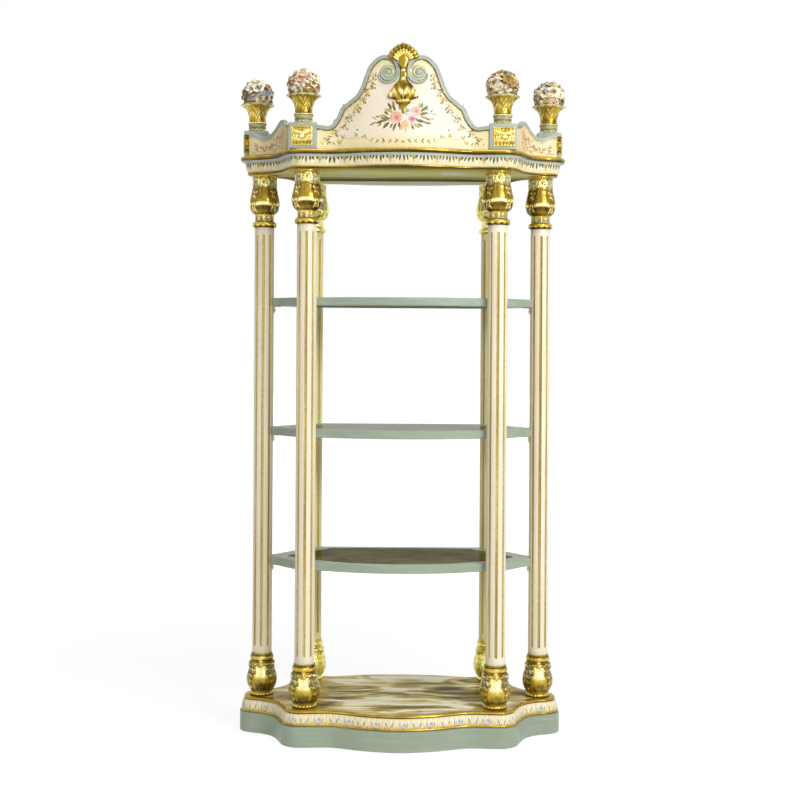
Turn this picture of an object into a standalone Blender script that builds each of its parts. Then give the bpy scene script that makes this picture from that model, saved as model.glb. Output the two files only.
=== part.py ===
"""Serpentine display shelf on six fluted columns, with a carved and painted gallery.

Metres, +Z up, front towards -Y, origin at the middle of the footprint on the floor.
"""

import math

import bmesh
import bpy
from mathutils import Vector

# Fits between pieces
FIT_GAP = 0.0003
BOWED_GAP = 0.0006
CUT_OVERRUN = 0.004

# Plan: its half width and depth, how far its edge stands from a column's axis, and the columns
HALF_WIDTH = 0.548
HALF_DEPTH = 0.308
LOBE = 0.072
FRONT_BOW_DEPTH = 0.055
BACK_BOW_DEPTH = 0.017
INNER_COLUMN_SHARE = 0.668
OUTER_COLUMN_X = HALF_WIDTH - LOBE
OUTER_COLUMN_Y = -0.011
FRONT_COLUMN_X = OUTER_COLUMN_X * INNER_COLUMN_SHARE
FRONT_COLUMN_Y = FRONT_BOW_DEPTH + LOBE - HALF_DEPTH
BACK_COLUMN_X = FRONT_COLUMN_X
BACK_COLUMN_Y = HALF_DEPTH - BACK_BOW_DEPTH - LOBE

# Base
PLINTH_HEIGHT = 0.0656
PLINTH_CHAMFER = 0.0015
BASE_MOULDING_HEIGHT = 0.052
BASE_MOULDING_STEP = 0.0215
BASE_PANEL_THICKNESS = 0.012

# Columns
FOOT_HEIGHT = 0.1440
FOOT_RADIUS = 0.050
SHAFT_RADIUS = 0.0345
SHAFT_LENGTH = 1.4634
FLUTE_COUNT = 8
FLUTE_WIDTH = 0.009
FLUTE_DEPTH = 0.0028
FLUTE_END_MARGIN = 0.027
FLUTE_RUNOUT = 0.004
CAPITAL_HEIGHT = 0.1797
CAPITAL_RADIUS = 0.050
DOWEL_RADIUS = 0.010
DOWEL_LENGTH = 0.0095
SPIGOT_RADIUS = 0.012
SPIGOT_LENGTH = 0.020
SPIGOT_END_ROOM = 0.001

# Shelves
SHELF_TOP_SHARES = (0.2272, 0.5313, 0.8340)
SHELF_THICKNESS = 0.027
SHELF_BOW = 0.040
GLASS_THICKNESS = 0.006
GLASS_SIDE_MARGIN = 0.084
GLASS_FRONT_MARGIN = 0.032
GLASS_BACK_MARGIN = 0.035
REBATE_LEDGE = 0.006

# Shelf brackets
BRACKET_LEAF = 0.0025
BRACKET_WIDTH = 0.016
BRACKET_REACH = 0.024
BRACKET_DROP = 0.022
SCREW_HEAD_RADIUS = 0.0042
SCREW_HEAD_HEIGHT = 0.0020
SCREW_PLACE_SHARE = 0.55

# Cornice and crown
CORNICE_HEIGHT = 0.0380
CORNICE_STEP = 0.030
CROWN_HEIGHT = 0.0255
CROWN_OVERHANG = 0.010
SOFFIT_THICKNESS = 0.012

# Gallery
GALLERY_INSET = 0.004
WING_THICKNESS = 0.012
WING_CAP_HEIGHT = 0.015
WING_CAP_PROUD = 0.002
WING_RISE = 0.109
WING_PAST_COLUMN = 0.046
DIE_HEIGHT = 0.0860
FRONT_DIE_WIDTH = 0.092
FRONT_DIE_DEPTH = 0.085
FRONT_DIE_OUT = 0.012
FRONT_DIE_FORWARD = 0.0235
OUTER_DIE_WIDTH = 0.083
OUTER_DIE_OUT = 0.0275
OUTER_DIE_BACK = 0.0105
PLAQUE_MARGIN = 0.011
PLAQUE_PROUD = 0.003

# Pediment
PEDIMENT_THICKNESS = 0.014
PEDIMENT_FACE_INSET = 0.012
PEDIMENT_RISE = 0.3050
TRIM_WIDTH = 0.016
TRIM_DEPTH = 0.0095
TRIM_CHAMFER = 0.003
TRIM_END_WIDTH_SHARE = 0.5
PANEL_EDGE_DROP = 0.003
SCROLL_EYE_DROP = 0.0580
SCROLL_REACH_SHARE = 0.53
SCROLL_GAP = 0.0031
SHELL_HEIGHT = 0.0397
HUSK_DROP = 0.1923
CREST_HALF_WIDTH = 0.050
CREST_STEM_SHARE = 0.17
CREST_THICKNESS = 0.018
CREST_CHAMFER = 0.004

# Finials
VASE_HEIGHT = 0.0955
VASE_RADIUS = 0.0595
BALL_RADIUS = 0.0585
BALL_SEAT_DROP = 0.030

# Facets round the turned pieces
TURNED_SIDES = 12
SMALL_SIDES = 10

# Heights that follow from the pieces below, each one gap above what carries it
BASE_MOULDING_Z = PLINTH_HEIGHT + FIT_GAP
BASE_TOP = BASE_MOULDING_Z + BASE_MOULDING_HEIGHT
FOOT_Z = BASE_TOP + FIT_GAP
SHAFT_Z = FOOT_Z + FOOT_HEIGHT + FIT_GAP
SHELF_TOPS = tuple(SHAFT_Z + SHAFT_LENGTH * share for share in SHELF_TOP_SHARES)
CAPITAL_Z = SHAFT_Z + SHAFT_LENGTH + FIT_GAP
CORNICE_Z = CAPITAL_Z + CAPITAL_HEIGHT + FIT_GAP
CROWN_Z = CORNICE_Z + CORNICE_HEIGHT + FIT_GAP
GALLERY_Z = CROWN_Z + CROWN_HEIGHT + FIT_GAP
VASE_Z = GALLERY_Z + DIE_HEIGHT + FIT_GAP

COLUMNS = {
    "front_left": (-FRONT_COLUMN_X, FRONT_COLUMN_Y),
    "front_right": (FRONT_COLUMN_X, FRONT_COLUMN_Y),
    "outer_left": (-OUTER_COLUMN_X, OUTER_COLUMN_Y),
    "outer_right": (OUTER_COLUMN_X, OUTER_COLUMN_Y),
    "back_left": (-BACK_COLUMN_X, BACK_COLUMN_Y),
    "back_right": (BACK_COLUMN_X, BACK_COLUMN_Y),
}

# The dies stand a little off the columns' axes
FRONT_DIE_X = FRONT_COLUMN_X + FRONT_DIE_OUT
FRONT_DIE_Y = FRONT_COLUMN_Y - FRONT_DIE_FORWARD
OUTER_DIE_X = OUTER_COLUMN_X + OUTER_DIE_OUT
OUTER_DIE_Y = OUTER_COLUMN_Y + OUTER_DIE_BACK
DIES = {
    "front_left": (-FRONT_DIE_X, FRONT_DIE_Y),
    "front_right": (FRONT_DIE_X, FRONT_DIE_Y),
    "outer_left": (-OUTER_DIE_X, OUTER_DIE_Y),
    "outer_right": (OUTER_DIE_X, OUTER_DIE_Y),
}

# Right half of the plan, front centre to back centre. The bows are shares of a column's X and
# of the bow's depth past the lobe; a lobe's are shares of LOBE from its column; a hollow's are
# shares of the way from one column to the next.
FRONT_BOW_SHARES = ((0, 1), (0.205, 0.864), (0.41, 0.564), (0.62, 0.082), (0.75, -0.082))
FRONT_LOBE_SHARES = ((0.14, -1.01), (0.60, -0.89), (0.97, -0.53), (1.15, -0.05))
FRONT_HOLLOW_SHARES = ((0.639, 0.259), (0.778, 0.447))
OUTER_LOBE_SHARES = (
    (0, -0.98), (0.47, -0.82), (0.86, -0.54), (1.014, -0.15),
    (1.014, 0.40), (0.82, 0.78), (0.40, 1.01),
)
BACK_HOLLOW_SHARES = ((0.139, 0.417), (0.33, 0.57), (0.43, 0.743))
BACK_LOBE_SHARES = ((1.15, -0.26), (1.04, 0.36), (0.61, 0.83), (0, 1))
BACK_BOW_SHARES = ((0.786, -0.94), (0.6, -0.35), (0.41, 0.56), (0.2, 0.91), (0, 1))

# Edge profiles, bottom to top: shares of a moulding's step or overhang, and of its height
BASE_MOULDING_SHARES = (
    (0.18, 0), (0.18, 0.11), (0.36, 0.17), (0.38, 0.42), (0.50, 0.66),
    (0.72, 0.79), (0.67, 0.90), (0.80, 1), (1, 1),
)
CORNICE_SHARES = ((0.73, 0), (0.62, 0.10), (0.53, 0.18), (0.40, 0.52), (0.26, 0.88), (0.20, 1))
CROWN_SHARES = ((-0.6, 0), (-0.3, 0.22), (0.55, 0.36), (1, 0.60), (0.9, 0.86), (0.4, 1))

# Turned profiles, bottom to top: shares of a piece's largest radius and of its height
FOOT_SHARES = (
    (0.93, 0), (0.96, 0.05), (0.80, 0.10), (0.90, 0.20), (1, 0.33), (0.94, 0.50),
    (0.80, 0.68), (0.92, 0.77), (0.80, 0.85), (0.82, 0.93), (0.74, 1),
)
CAPITAL_SHARES = (
    (0.70, 0), (0.83, 0.07), (0.62, 0.13), (0.62, 0.22), (0.90, 0.37),
    (1, 0.49), (0.94, 0.58), (0.76, 0.74), (0.84, 0.90), (0.88, 1),
)
VASE_SHARES = (
    (0.53, 0), (0.50, 0.10), (0.45, 0.28), (0.56, 0.34), (0.50, 0.41),
    (0.48, 0.55), (0.56, 0.74), (0.86, 0.91), (1, 0.97), (0.98, 1),
)

# A shelf's right half, front centre to back centre, written as the plan's shares are
SHELF_BOW_SHARES = ((0, 1), (0.283, 0.84), (0.566, 0.33), (0.786, -0.28), (0.94, -0.48))
SHELF_FRONT_SHARES = ((0.171, 0.241), (0.424, 0.476), (0.646, 0.741), (0.823, 0.870))
SHELF_BACK_SHARES = ((0.177, 0.110), (0.323, 0.243), (0.576, 0.504), (0.797, 0.70), (1, 0.978))
SHELF_BACK_EDGE_SHARES = ((0.63, 0.990), (0, 0.990))
GLASS_SHARES = (
    (0, 0), (0.23, 0.02), (0.44, 0.07), (0.65, 0.18), (0.86, 0.33), (0.98, 0.45),
    (0.98, 0.52), (0.87, 0.67), (0.77, 0.81), (0.67, 0.93), (0.58, 0.995), (0, 1),
)

# Top of a wing, outer end to front die: shares of its length, and of its rise
WING_TOP_SHARES = (
    (0, 0.70), (0.08, 0.71), (0.18, 0.62), (0.28, 0.58), (0.40, 0.62), (0.52, 0.75),
    (0.64, 0.91), (0.74, 1), (0.84, 0.97), (0.93, 0.84), (1, 0.78),
)

# Upper edge of the pediment's right half, die to scroll: shares of its half width and rise
CLIMB_SHARES = (
    (1, 0.262), (0.94, 0.259), (0.87, 0.250), (0.826, 0.269), (0.779, 0.328), (0.750, 0.385),
    (0.722, 0.445), (0.678, 0.480), (0.600, 0.536), (0.544, 0.579), (0.487, 0.670),
    (0.454, 0.761), (0.408, 0.869), (0.363, 0.927), (0.306, 0.975), (0.238, 1),
)
HEAD_SHARES = ((0.170, 0.997), (0.124, 0.976), (0.085, 0.935), (0.060, 0.86), (0.043, 0.76), (0, 0.70))
# Scroll: degrees round its eye, outwards being 0, and the trim's middle line as a share of the
# eye's distance from the top edge
SCROLL_SHARES = (
    (100, 0.82), (125, 0.70), (150, 0.585), (180, 0.53), (210, 0.515), (240, 0.52), (270, 0.53),
    (300, 0.515), (330, 0.50), (360, 0.47), (395, 0.42), (430, 0.37), (465, 0.32), (500, 0.28),
)
# Crest's right half: shares of its half width, and of the husk's drop below the pediment's top,
# tip to neck, or of the shell's height above it
HUSK_SHARES = (
    (0.30, 0.952), (0.62, 0.843), (0.92, 0.735), (0.86, 0.650), (0.50, 0.566), (0.20, 0.469),
    (CREST_STEM_SHARE, 0.180), (0.26, 0.113),
)
SHELL_SHARES = ((0.62, 0.01), (1, 0.194), (0.94, 0.531), (0.50, 0.884))

COLOURS = {
    "painted_green": ((0.34, 0.42, 0.33), 0.42, 0.0),
    "painted_cream": ((0.90, 0.83, 0.64), 0.40, 0.0),
    "column_cream": ((0.80, 0.71, 0.57), 0.38, 0.0),
    "gilded_wood": ((0.72, 0.48, 0.09), 0.24, 0.9),
    "gilded_panel": ((0.62, 0.52, 0.25), 0.20, 0.4),
    "smoked_glass": ((0.04, 0.045, 0.03), 0.05, 0.0),
    "brass": ((0.75, 0.55, 0.22), 0.25, 1.0),
    "flower_ball": ((0.85, 0.75, 0.62), 0.35, 0.0),
}


def clear_scene():
    """Remove every object that is there already."""
    for item in list(bpy.data.objects):
        bpy.data.objects.remove(item)


def finish(piece, colour_name):
    """Give one piece its own material."""
    colour, roughness, metallic = COLOURS[colour_name]
    paint = bpy.data.materials.new(f"{piece.name}_{colour_name}")
    paint.use_nodes = True
    shader = paint.node_tree.nodes["Principled BSDF"]
    shader.inputs["Base Color"].default_value = (*colour, 1)
    shader.inputs["Roughness"].default_value = roughness
    shader.inputs["Metallic"].default_value = metallic
    piece.data.materials.append(paint)


def add_piece(name, mesh, place=(0, 0, 0)):
    """A mesh as a named object of the scene."""
    piece = bpy.data.objects.new(name, mesh)
    piece.location = place
    bpy.context.collection.objects.link(piece)
    return piece


def mesh_from(name, points, faces, round_edges=0.0):
    """A mesh, shaded smooth across edges below the given angle."""
    mesh = bpy.data.meshes.new(name)
    mesh.from_pydata([tuple(point) for point in points], [], faces)
    mesh.validate()
    if round_edges:
        mesh.shade_smooth()
        mesh.set_sharp_from_angle(angle=round_edges)
    return mesh


def as_cutter(piece):
    """Hide a guide solid that only cuts others."""
    piece.hide_render = True
    piece.display_type = "WIRE"
    return piece


def cut(piece, cutter):
    """Take the cutter's solid away from the piece."""
    modifier = piece.modifiers.new(cutter.name, "BOOLEAN")
    modifier.operation = "DIFFERENCE"
    modifier.solver = "EXACT"
    modifier.object = cutter


def between(low, high, share):
    """The value a share of the way from low to high."""
    return low + (high - low) * share


def smooth_through(points, steps):
    """A curve through the points, with this many steps between each two."""
    curve = []
    for index in range(len(points) - 1):
        before = Vector(points[max(index - 1, 0)])
        start = Vector(points[index])
        end = Vector(points[index + 1])
        after = Vector(points[min(index + 2, len(points) - 1)])
        for step in range(steps):
            t = step / steps
            pull = (end - before) * t + (2 * before - 5 * start + 4 * end - after) * t**2
            curve.append(start + (pull + (3 * start - before - 3 * end + after) * t**3) / 2)
    curve.append(Vector(points[-1]))
    return curve


def mirrored_ring(half):
    """A closed outline, anticlockwise from above, from its right half."""
    return half + [(-x, y) for x, y in reversed(half[1:-1])]


def lobe(column, shares):
    """Points round a column, in shares of LOBE from its axis."""
    x, y = COLUMNS[column]
    return [(x + LOBE * across, y + LOBE * along) for across, along in shares]


def on_the_way(start, end, shares):
    """Points in shares of the way from one column to another."""
    x, y = COLUMNS[start]
    far_x, far_y = COLUMNS[end]
    return [(between(x, far_x, across), between(y, far_y, along)) for across, along in shares]


def front_bow():
    """The plan's front edge, from its middle to the front lobe."""
    lobe_edge = FRONT_COLUMN_Y - LOBE
    return [(FRONT_COLUMN_X * x, between(lobe_edge, -HALF_DEPTH, y)) for x, y in FRONT_BOW_SHARES]


def back_bow():
    """The plan's back edge, from the back lobe to its middle."""
    lobe_edge = BACK_COLUMN_Y + LOBE
    return [(BACK_COLUMN_X * x, between(lobe_edge, HALF_DEPTH, y)) for x, y in BACK_BOW_SHARES]


def front_corner():
    """The plan's edge round the front column, the hollow and the outer column."""
    return (
        lobe("front_right", FRONT_LOBE_SHARES)
        + on_the_way("front_right", "outer_right", FRONT_HOLLOW_SHARES)
        + lobe("outer_right", OUTER_LOBE_SHARES)
    )


def plan_half():
    """Right half of the serpentine plan, front centre to back centre."""
    back_corner = on_the_way("outer_right", "back_right", BACK_HOLLOW_SHARES)
    back_corner += lobe("back_right", BACK_LOBE_SHARES)
    return front_bow() + front_corner() + back_corner + back_bow()


def inset_ring(ring, inset):
    """The outline moved inwards, each point square to its neighbours."""
    moved = []
    for index, (x, y) in enumerate(ring):
        before = Vector(ring[index - 1])
        after = Vector(ring[(index + 1) % len(ring)])
        along = (after - before).normalized()
        moved.append((x - along.y * inset, y + along.x * inset))
    return moved


def plan_board(name, profile, place_z, colour_name):
    """A solid board of the serpentine plan, its edge following (inset, height) pairs."""
    ring = mirrored_ring(plan_half())
    count = len(ring)
    points = []
    faces = [tuple(reversed(range(count)))]
    for inset, height in profile:
        points += [(x, y, height) for x, y in inset_ring(ring, inset)]
    for level in range(len(profile) - 1):
        low = level * count
        high = low + count
        for index in range(count):
            following = (index + 1) % count
            faces.append((low + index, low + following, high + following, high + index))
    faces.append(tuple(range(len(points) - count, len(points))))
    piece = add_piece(name, mesh_from(name, points, faces), (0, 0, place_z))
    finish(piece, colour_name)
    return piece


def prism(name, ring, low, high):
    """A closed outline raised from one height to another."""
    count = len(ring)
    points = [(x, y, low) for x, y in ring] + [(x, y, high) for x, y in ring]
    faces = [tuple(reversed(range(count))), tuple(range(count, 2 * count))]
    for index in range(count):
        following = (index + 1) % count
        faces.append((index, following, count + following, count + index))
    return add_piece(name, mesh_from(name, points, faces))


def turned_mesh(name, profile, sides):
    """A mesh turned about Z from (radius, height) pairs, its first and last on the axis."""
    points = [(0, 0, profile[0][1])]
    for radius, height in profile[1:-1]:
        for side in range(sides):
            angle = math.tau * side / sides
            points.append((radius * math.cos(angle), radius * math.sin(angle), height))
    points.append((0, 0, profile[-1][1]))
    top = len(points) - 1
    faces = []
    for side in range(sides):
        following = (side + 1) % sides
        faces.append((0, 1 + following, 1 + side))
        for level in range(len(profile) - 3):
            low = 1 + level * sides
            high = low + sides
            faces.append((low + side, low + following, high + following, high + side))
        last = 1 + (len(profile) - 3) * sides
        faces.append((top, last + side, last + following))
    return mesh_from(name, points, faces, round_edges=math.radians(40))


def column_cutter(name, place, radius, low, high):
    """A plain cylinder that makes room for a column or a dowel."""
    profile = ((0, low), (radius, low), (radius, high), (0, high))
    return as_cutter(add_piece(name, turned_mesh(name, profile, 2 * TURNED_SIDES), (*place, 0)))


def scaled(shares, radius, height):
    """A turned profile in real sizes."""
    return [(radius * x, height * y) for x, y in shares]


def circumscribed(radius, sides):
    """The corner radius of a polygon whose flats touch a circle."""
    return radius / math.cos(math.pi / sides)


def bore_radius(pin_radius):
    """The corner radius of a faceted bore that clears a pin all round."""
    return circumscribed(pin_radius + FIT_GAP, TURNED_SIDES)


def add_base():
    """Plinth, painted moulding and the marbled panel that the feet stand on."""
    plan_board(
        "plinth",
        ((0, 0), (0, PLINTH_HEIGHT - PLINTH_CHAMFER), (PLINTH_CHAMFER, PLINTH_HEIGHT)),
        0,
        "painted_green",
    )
    pocket_floor = BASE_MOULDING_HEIGHT - BASE_PANEL_THICKNESS - FIT_GAP
    profile = scaled(BASE_MOULDING_SHARES, BASE_MOULDING_STEP, BASE_MOULDING_HEIGHT)
    profile.append((BASE_MOULDING_STEP, pocket_floor))
    plan_board("base_moulding", profile, BASE_MOULDING_Z, "painted_cream")
    inset = BASE_MOULDING_STEP + FIT_GAP
    panel = plan_board(
        "base_panel",
        ((inset, 0), (inset, BASE_PANEL_THICKNESS)),
        BASE_TOP - BASE_PANEL_THICKNESS,
        "gilded_panel",
    )
    low = BASE_TOP - BASE_PANEL_THICKNESS - CUT_OVERRUN
    for where, place in COLUMNS.items():
        radius = DOWEL_RADIUS + FIT_GAP
        cut(panel, column_cutter(f"panel_bore_{where}", place, radius, low, BASE_TOP + CUT_OVERRUN))


def add_feet():
    """Turned feet, each with a dowel below and a bore for its shaft above."""
    bore = bore_radius(SPIGOT_RADIUS)
    bore_floor = FOOT_HEIGHT - SPIGOT_LENGTH - SPIGOT_END_ROOM
    profile = [(0, -DOWEL_LENGTH), (DOWEL_RADIUS, -DOWEL_LENGTH), (DOWEL_RADIUS, 0)]
    profile += scaled(FOOT_SHARES, FOOT_RADIUS, FOOT_HEIGHT)
    profile += [(bore, FOOT_HEIGHT), (bore, bore_floor), (0, bore_floor)]
    mesh = turned_mesh("foot", profile, TURNED_SIDES)
    for where, place in COLUMNS.items():
        piece = add_piece(f"foot_{where}", mesh.copy(), (*place, FOOT_Z))
        finish(piece, "gilded_wood")


def add_capitals():
    """Carved capitals, each with a bore for its shaft below and a dowel above."""
    bore = bore_radius(SPIGOT_RADIUS)
    bore_roof = SPIGOT_LENGTH + SPIGOT_END_ROOM
    dowel_top = CAPITAL_HEIGHT + DOWEL_LENGTH
    profile = [(0, bore_roof), (bore, bore_roof), (bore, 0)]
    profile += scaled(CAPITAL_SHARES, CAPITAL_RADIUS, CAPITAL_HEIGHT)
    profile += [(DOWEL_RADIUS, CAPITAL_HEIGHT), (DOWEL_RADIUS, dowel_top), (0, dowel_top)]
    mesh = turned_mesh("capital", profile, TURNED_SIDES)
    for where, place in COLUMNS.items():
        piece = add_piece(f"capital_{where}", mesh.copy(), (*place, CAPITAL_Z))
        finish(piece, "gilded_wood")


def shaft_ring(radius, depth):
    """Three points to each flute: its two edges and its bottom."""
    half = math.asin(FLUTE_WIDTH / 2 / SHAFT_RADIUS)
    ring = []
    for flute in range(FLUTE_COUNT):
        middle = math.tau * (flute + 0.5) / FLUTE_COUNT
        for angle, reach in ((middle - half, radius), (middle, radius - depth), (middle + half, radius)):
            ring.append((reach * math.cos(angle), reach * math.sin(angle)))
    return ring


def add_shafts():
    """Fluted shafts with a round spigot at each end."""
    start = FLUTE_END_MARGIN
    end = SHAFT_LENGTH - FLUTE_END_MARGIN
    levels = (
        (SPIGOT_RADIUS, 0, -SPIGOT_LENGTH),
        (SPIGOT_RADIUS, 0, 0),
        (SHAFT_RADIUS, 0, 0),
        (SHAFT_RADIUS, 0, start),
        (SHAFT_RADIUS, FLUTE_DEPTH, start + FLUTE_RUNOUT),
        (SHAFT_RADIUS, FLUTE_DEPTH, end - FLUTE_RUNOUT),
        (SHAFT_RADIUS, 0, end),
        (SHAFT_RADIUS, 0, SHAFT_LENGTH),
        (SPIGOT_RADIUS, 0, SHAFT_LENGTH),
        (SPIGOT_RADIUS, 0, SHAFT_LENGTH + SPIGOT_LENGTH),
    )
    points = []
    for radius, depth, height in levels:
        points += [(x, y, height) for x, y in shaft_ring(radius, depth)]
    count = 3 * FLUTE_COUNT
    faces = [tuple(reversed(range(count)))]
    for level in range(len(levels) - 1):
        low = level * count
        high = low + count
        for index in range(count):
            following = (index + 1) % count
            faces.append((low + index, low + following, high + following, high + index))
    faces.append(tuple(range(len(points) - count, len(points))))
    mesh = mesh_from("shaft", points, faces)
    for where, place in COLUMNS.items():
        piece = add_piece(f"shaft_{where}", mesh.copy(), (*place, SHAFT_Z))
        finish(piece, "column_cream")


def shelf_outline():
    """A shelf's whole outline, before the columns are cut out of it."""
    half = [(FRONT_COLUMN_X * x, FRONT_COLUMN_Y - SHELF_BOW * y) for x, y in SHELF_BOW_SHARES]
    half += on_the_way("front_right", "outer_right", SHELF_FRONT_SHARES)
    half += on_the_way("outer_right", "back_right", SHELF_BACK_SHARES)
    half += [(BACK_COLUMN_X * x, BACK_COLUMN_Y * y) for x, y in SHELF_BACK_EDGE_SHARES]
    return mirrored_ring(half)


def glass_outline(gap):
    """The glass pane's outline, a gap larger or smaller all round."""
    half_width = OUTER_COLUMN_X - GLASS_SIDE_MARGIN
    front = FRONT_COLUMN_Y - SHELF_BOW + GLASS_FRONT_MARGIN
    back = BACK_COLUMN_Y - GLASS_BACK_MARGIN
    half = [(half_width * x, between(front, back, y)) for x, y in GLASS_SHARES]
    return inset_ring(mirrored_ring(half), -gap)


def add_shelves():
    """Painted frames notched round the columns, each with a glass pane in its rebate."""
    low = SHELF_TOPS[0] - 2 * SHELF_THICKNESS
    high = SHELF_TOPS[-1] + SHELF_THICKNESS
    opening = as_cutter(prism("shelf_opening", glass_outline(-REBATE_LEDGE), low, high))
    room = circumscribed(SHAFT_RADIUS + FIT_GAP, 2 * TURNED_SIDES)
    notches = [
        column_cutter(f"shelf_notch_{where}", place, room, low, high)
        for where, place in COLUMNS.items()
    ]
    for number, top in enumerate(SHELF_TOPS, start=1):
        frame = prism(f"shelf_frame_{number}", shelf_outline(), top - SHELF_THICKNESS, top)
        finish(frame, "painted_green")
        seat = top - GLASS_THICKNESS
        rebate = as_cutter(
            prism(f"rebate_{number}", glass_outline(FIT_GAP), seat - FIT_GAP, top + CUT_OVERRUN)
        )
        for cutter in (rebate, opening, *notches):
            cut(frame, cutter)
        pane = prism(f"shelf_glass_{number}", glass_outline(0), seat, top)
        finish(pane, "smoked_glass")


def bracket_mesh():
    """An angle bracket with a screw head, its upright leaf against X = 0, reaching along +X."""
    leaf, reach, drop = BRACKET_LEAF, BRACKET_REACH, BRACKET_DROP
    half = BRACKET_WIDTH / 2
    profile = ((0, 0), (0, -drop), (leaf, -drop), (leaf, -leaf), (reach, -leaf), (reach, 0))
    points = [(x, side, z) for side in (-half, half) for x, z in profile]
    count = len(profile)
    faces = [tuple(range(count)), tuple(reversed(range(count, 2 * count)))]
    for index in range(count):
        following = (index + 1) % count
        faces.append((index, count + index, count + following, following))
    angle = add_piece("bracket_angle", mesh_from("bracket_angle", points, faces))
    profile = (
        (0, leaf / 2), (SCREW_HEAD_RADIUS, leaf / 2), (SCREW_HEAD_RADIUS, leaf + SCREW_HEAD_HEIGHT / 2),
        (SCREW_HEAD_RADIUS / 2, leaf + SCREW_HEAD_HEIGHT), (0, leaf + SCREW_HEAD_HEIGHT),
    )
    head = as_cutter(add_piece("screw_head", turned_mesh("screw_head", profile, SMALL_SIDES)))
    head.rotation_euler = (0, math.radians(90), 0)
    head.location = (0, 0, -between(leaf, drop, SCREW_PLACE_SHARE))
    joined = angle.modifiers.new("screw_head", "BOOLEAN")
    joined.operation = "UNION"
    joined.solver = "EXACT"
    joined.object = head
    bpy.context.view_layer.update()
    seen = angle.evaluated_get(bpy.context.evaluated_depsgraph_get())
    mesh = bpy.data.meshes.new_from_object(seen)
    bpy.data.objects.remove(angle)
    bpy.data.objects.remove(head)
    return mesh


def add_brackets():
    """Four brackets under each shelf: inwards from the outer columns, forwards from the back."""
    mesh = bracket_mesh()
    stand_off = SHAFT_RADIUS + FIT_GAP
    turns = {"outer_left": 0, "outer_right": 180, "back_left": -90, "back_right": -90}
    for number, top in enumerate(SHELF_TOPS, start=1):
        for where, turn in turns.items():
            x, y = COLUMNS[where]
            angle = math.radians(turn)
            place = (
                x + stand_off * math.cos(angle),
                y + stand_off * math.sin(angle),
                top - SHELF_THICKNESS - FIT_GAP,
            )
            piece = add_piece(f"bracket_{number}_{where}", mesh.copy(), place)
            piece.rotation_euler = (0, 0, angle)
            finish(piece, "brass")


def add_cornice():
    """Soffit panel, painted cornice and the crown with its gilt torus."""
    inset = CORNICE_STEP + FIT_GAP
    soffit = plan_board(
        "soffit_panel", ((inset, 0), (inset, SOFFIT_THICKNESS)), CORNICE_Z, "gilded_panel"
    )
    low = CORNICE_Z - CUT_OVERRUN
    high = CORNICE_Z + SOFFIT_THICKNESS + CUT_OVERRUN
    for where, place in COLUMNS.items():
        radius = DOWEL_RADIUS + FIT_GAP
        cut(soffit, column_cutter(f"soffit_bore_{where}", place, radius, low, high))
    profile = [(CORNICE_STEP, SOFFIT_THICKNESS + FIT_GAP), (CORNICE_STEP, 0)]
    profile += scaled(CORNICE_SHARES, CORNICE_STEP, CORNICE_HEIGHT)
    plan_board("cornice_moulding", profile, CORNICE_Z, "painted_cream")
    profile = scaled(CROWN_SHARES, -CROWN_OVERHANG, CROWN_HEIGHT)
    plan_board("crown_moulding", profile, CROWN_Z, "gilded_wood")


def wall_mesh(name, stations, section):
    """A standing wall: at each station (place, across, top) a closed section of (across, height)
    pairs, where a height below zero is measured down from the top."""
    points = []
    for place, across, top in stations:
        for side, height in section:
            z = height if height >= 0 else top + height
            points.append((place.x + across.x * side, place.y + across.y * side, z))
    count = len(section)
    faces = [tuple(range(count))]
    for index in range(len(stations) - 1):
        low = index * count
        high = low + count
        for corner in range(count):
            following = (corner + 1) % count
            faces.append((low + corner, high + corner, high + following, low + following))
    faces.append(tuple(reversed(range(len(points) - count, len(points)))))
    return mesh_from(name, points, faces)


def curve_length(points):
    """Length along a run of points."""
    return sum((after - before).length for before, after in zip(points, points[1:]))


def share_value(pairs, share):
    """The second value of the pairs where the first is this share."""
    for (before, low), (after, high) in zip(pairs, pairs[1:]):
        if share <= after:
            return between(low, high, (share - before) / (after - before))
    return pairs[-1][1]


def wing_path():
    """Middle line of the right wing, from in front of the outer die to beside the front die."""
    outer_end = OUTER_COLUMN_X + WING_PAST_COLUMN
    edge = smooth_through(front_corner()[:-len(OUTER_LOBE_SHARES) // 2], 2)
    path = inset_ring(edge, GALLERY_INSET + WING_THICKNESS / 2)[1:-1]
    path = [Vector(point) for point in path if point[0] < outer_end and point[1] > FRONT_DIE_Y]
    return list(reversed(path))


def add_wings():
    """Painted wing panels with a capping that dips and humps, between the dies."""
    path = wing_path()
    whole = curve_length(path)
    half = WING_THICKNESS / 2
    proud = half + WING_CAP_PROUD
    section = (
        (half, 0), (half, -WING_CAP_HEIGHT), (proud, -WING_CAP_HEIGHT), (proud, -WING_CAP_PROUD),
        (half, -FIT_GAP), (-half, -FIT_GAP), (-proud, -WING_CAP_PROUD),
        (-proud, -WING_CAP_HEIGHT), (-half, -WING_CAP_HEIGHT), (-half, 0),
    )
    stations = []
    for index, place in enumerate(path):
        before = path[max(index - 1, 0)]
        after = path[min(index + 1, len(path) - 1)]
        along = (after - before).normalized()
        share = curve_length(path[:index + 1]) / whole
        top = WING_RISE * share_value(WING_TOP_SHARES, share)
        stations.append((place, Vector((along.y, -along.x)), top))
    mirrored = []
    for place, across, top in stations:
        mirrored.append((Vector((-place.x, place.y)), Vector((across.x, -across.y)), top))
    right = add_piece("wing_right", wall_mesh("wing_right", stations, section), (0, 0, GALLERY_Z))
    left = add_piece("wing_left", wall_mesh("wing_left", mirrored, section), (0, 0, GALLERY_Z))
    for piece in (right, left):
        finish(piece, "painted_cream")


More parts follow.
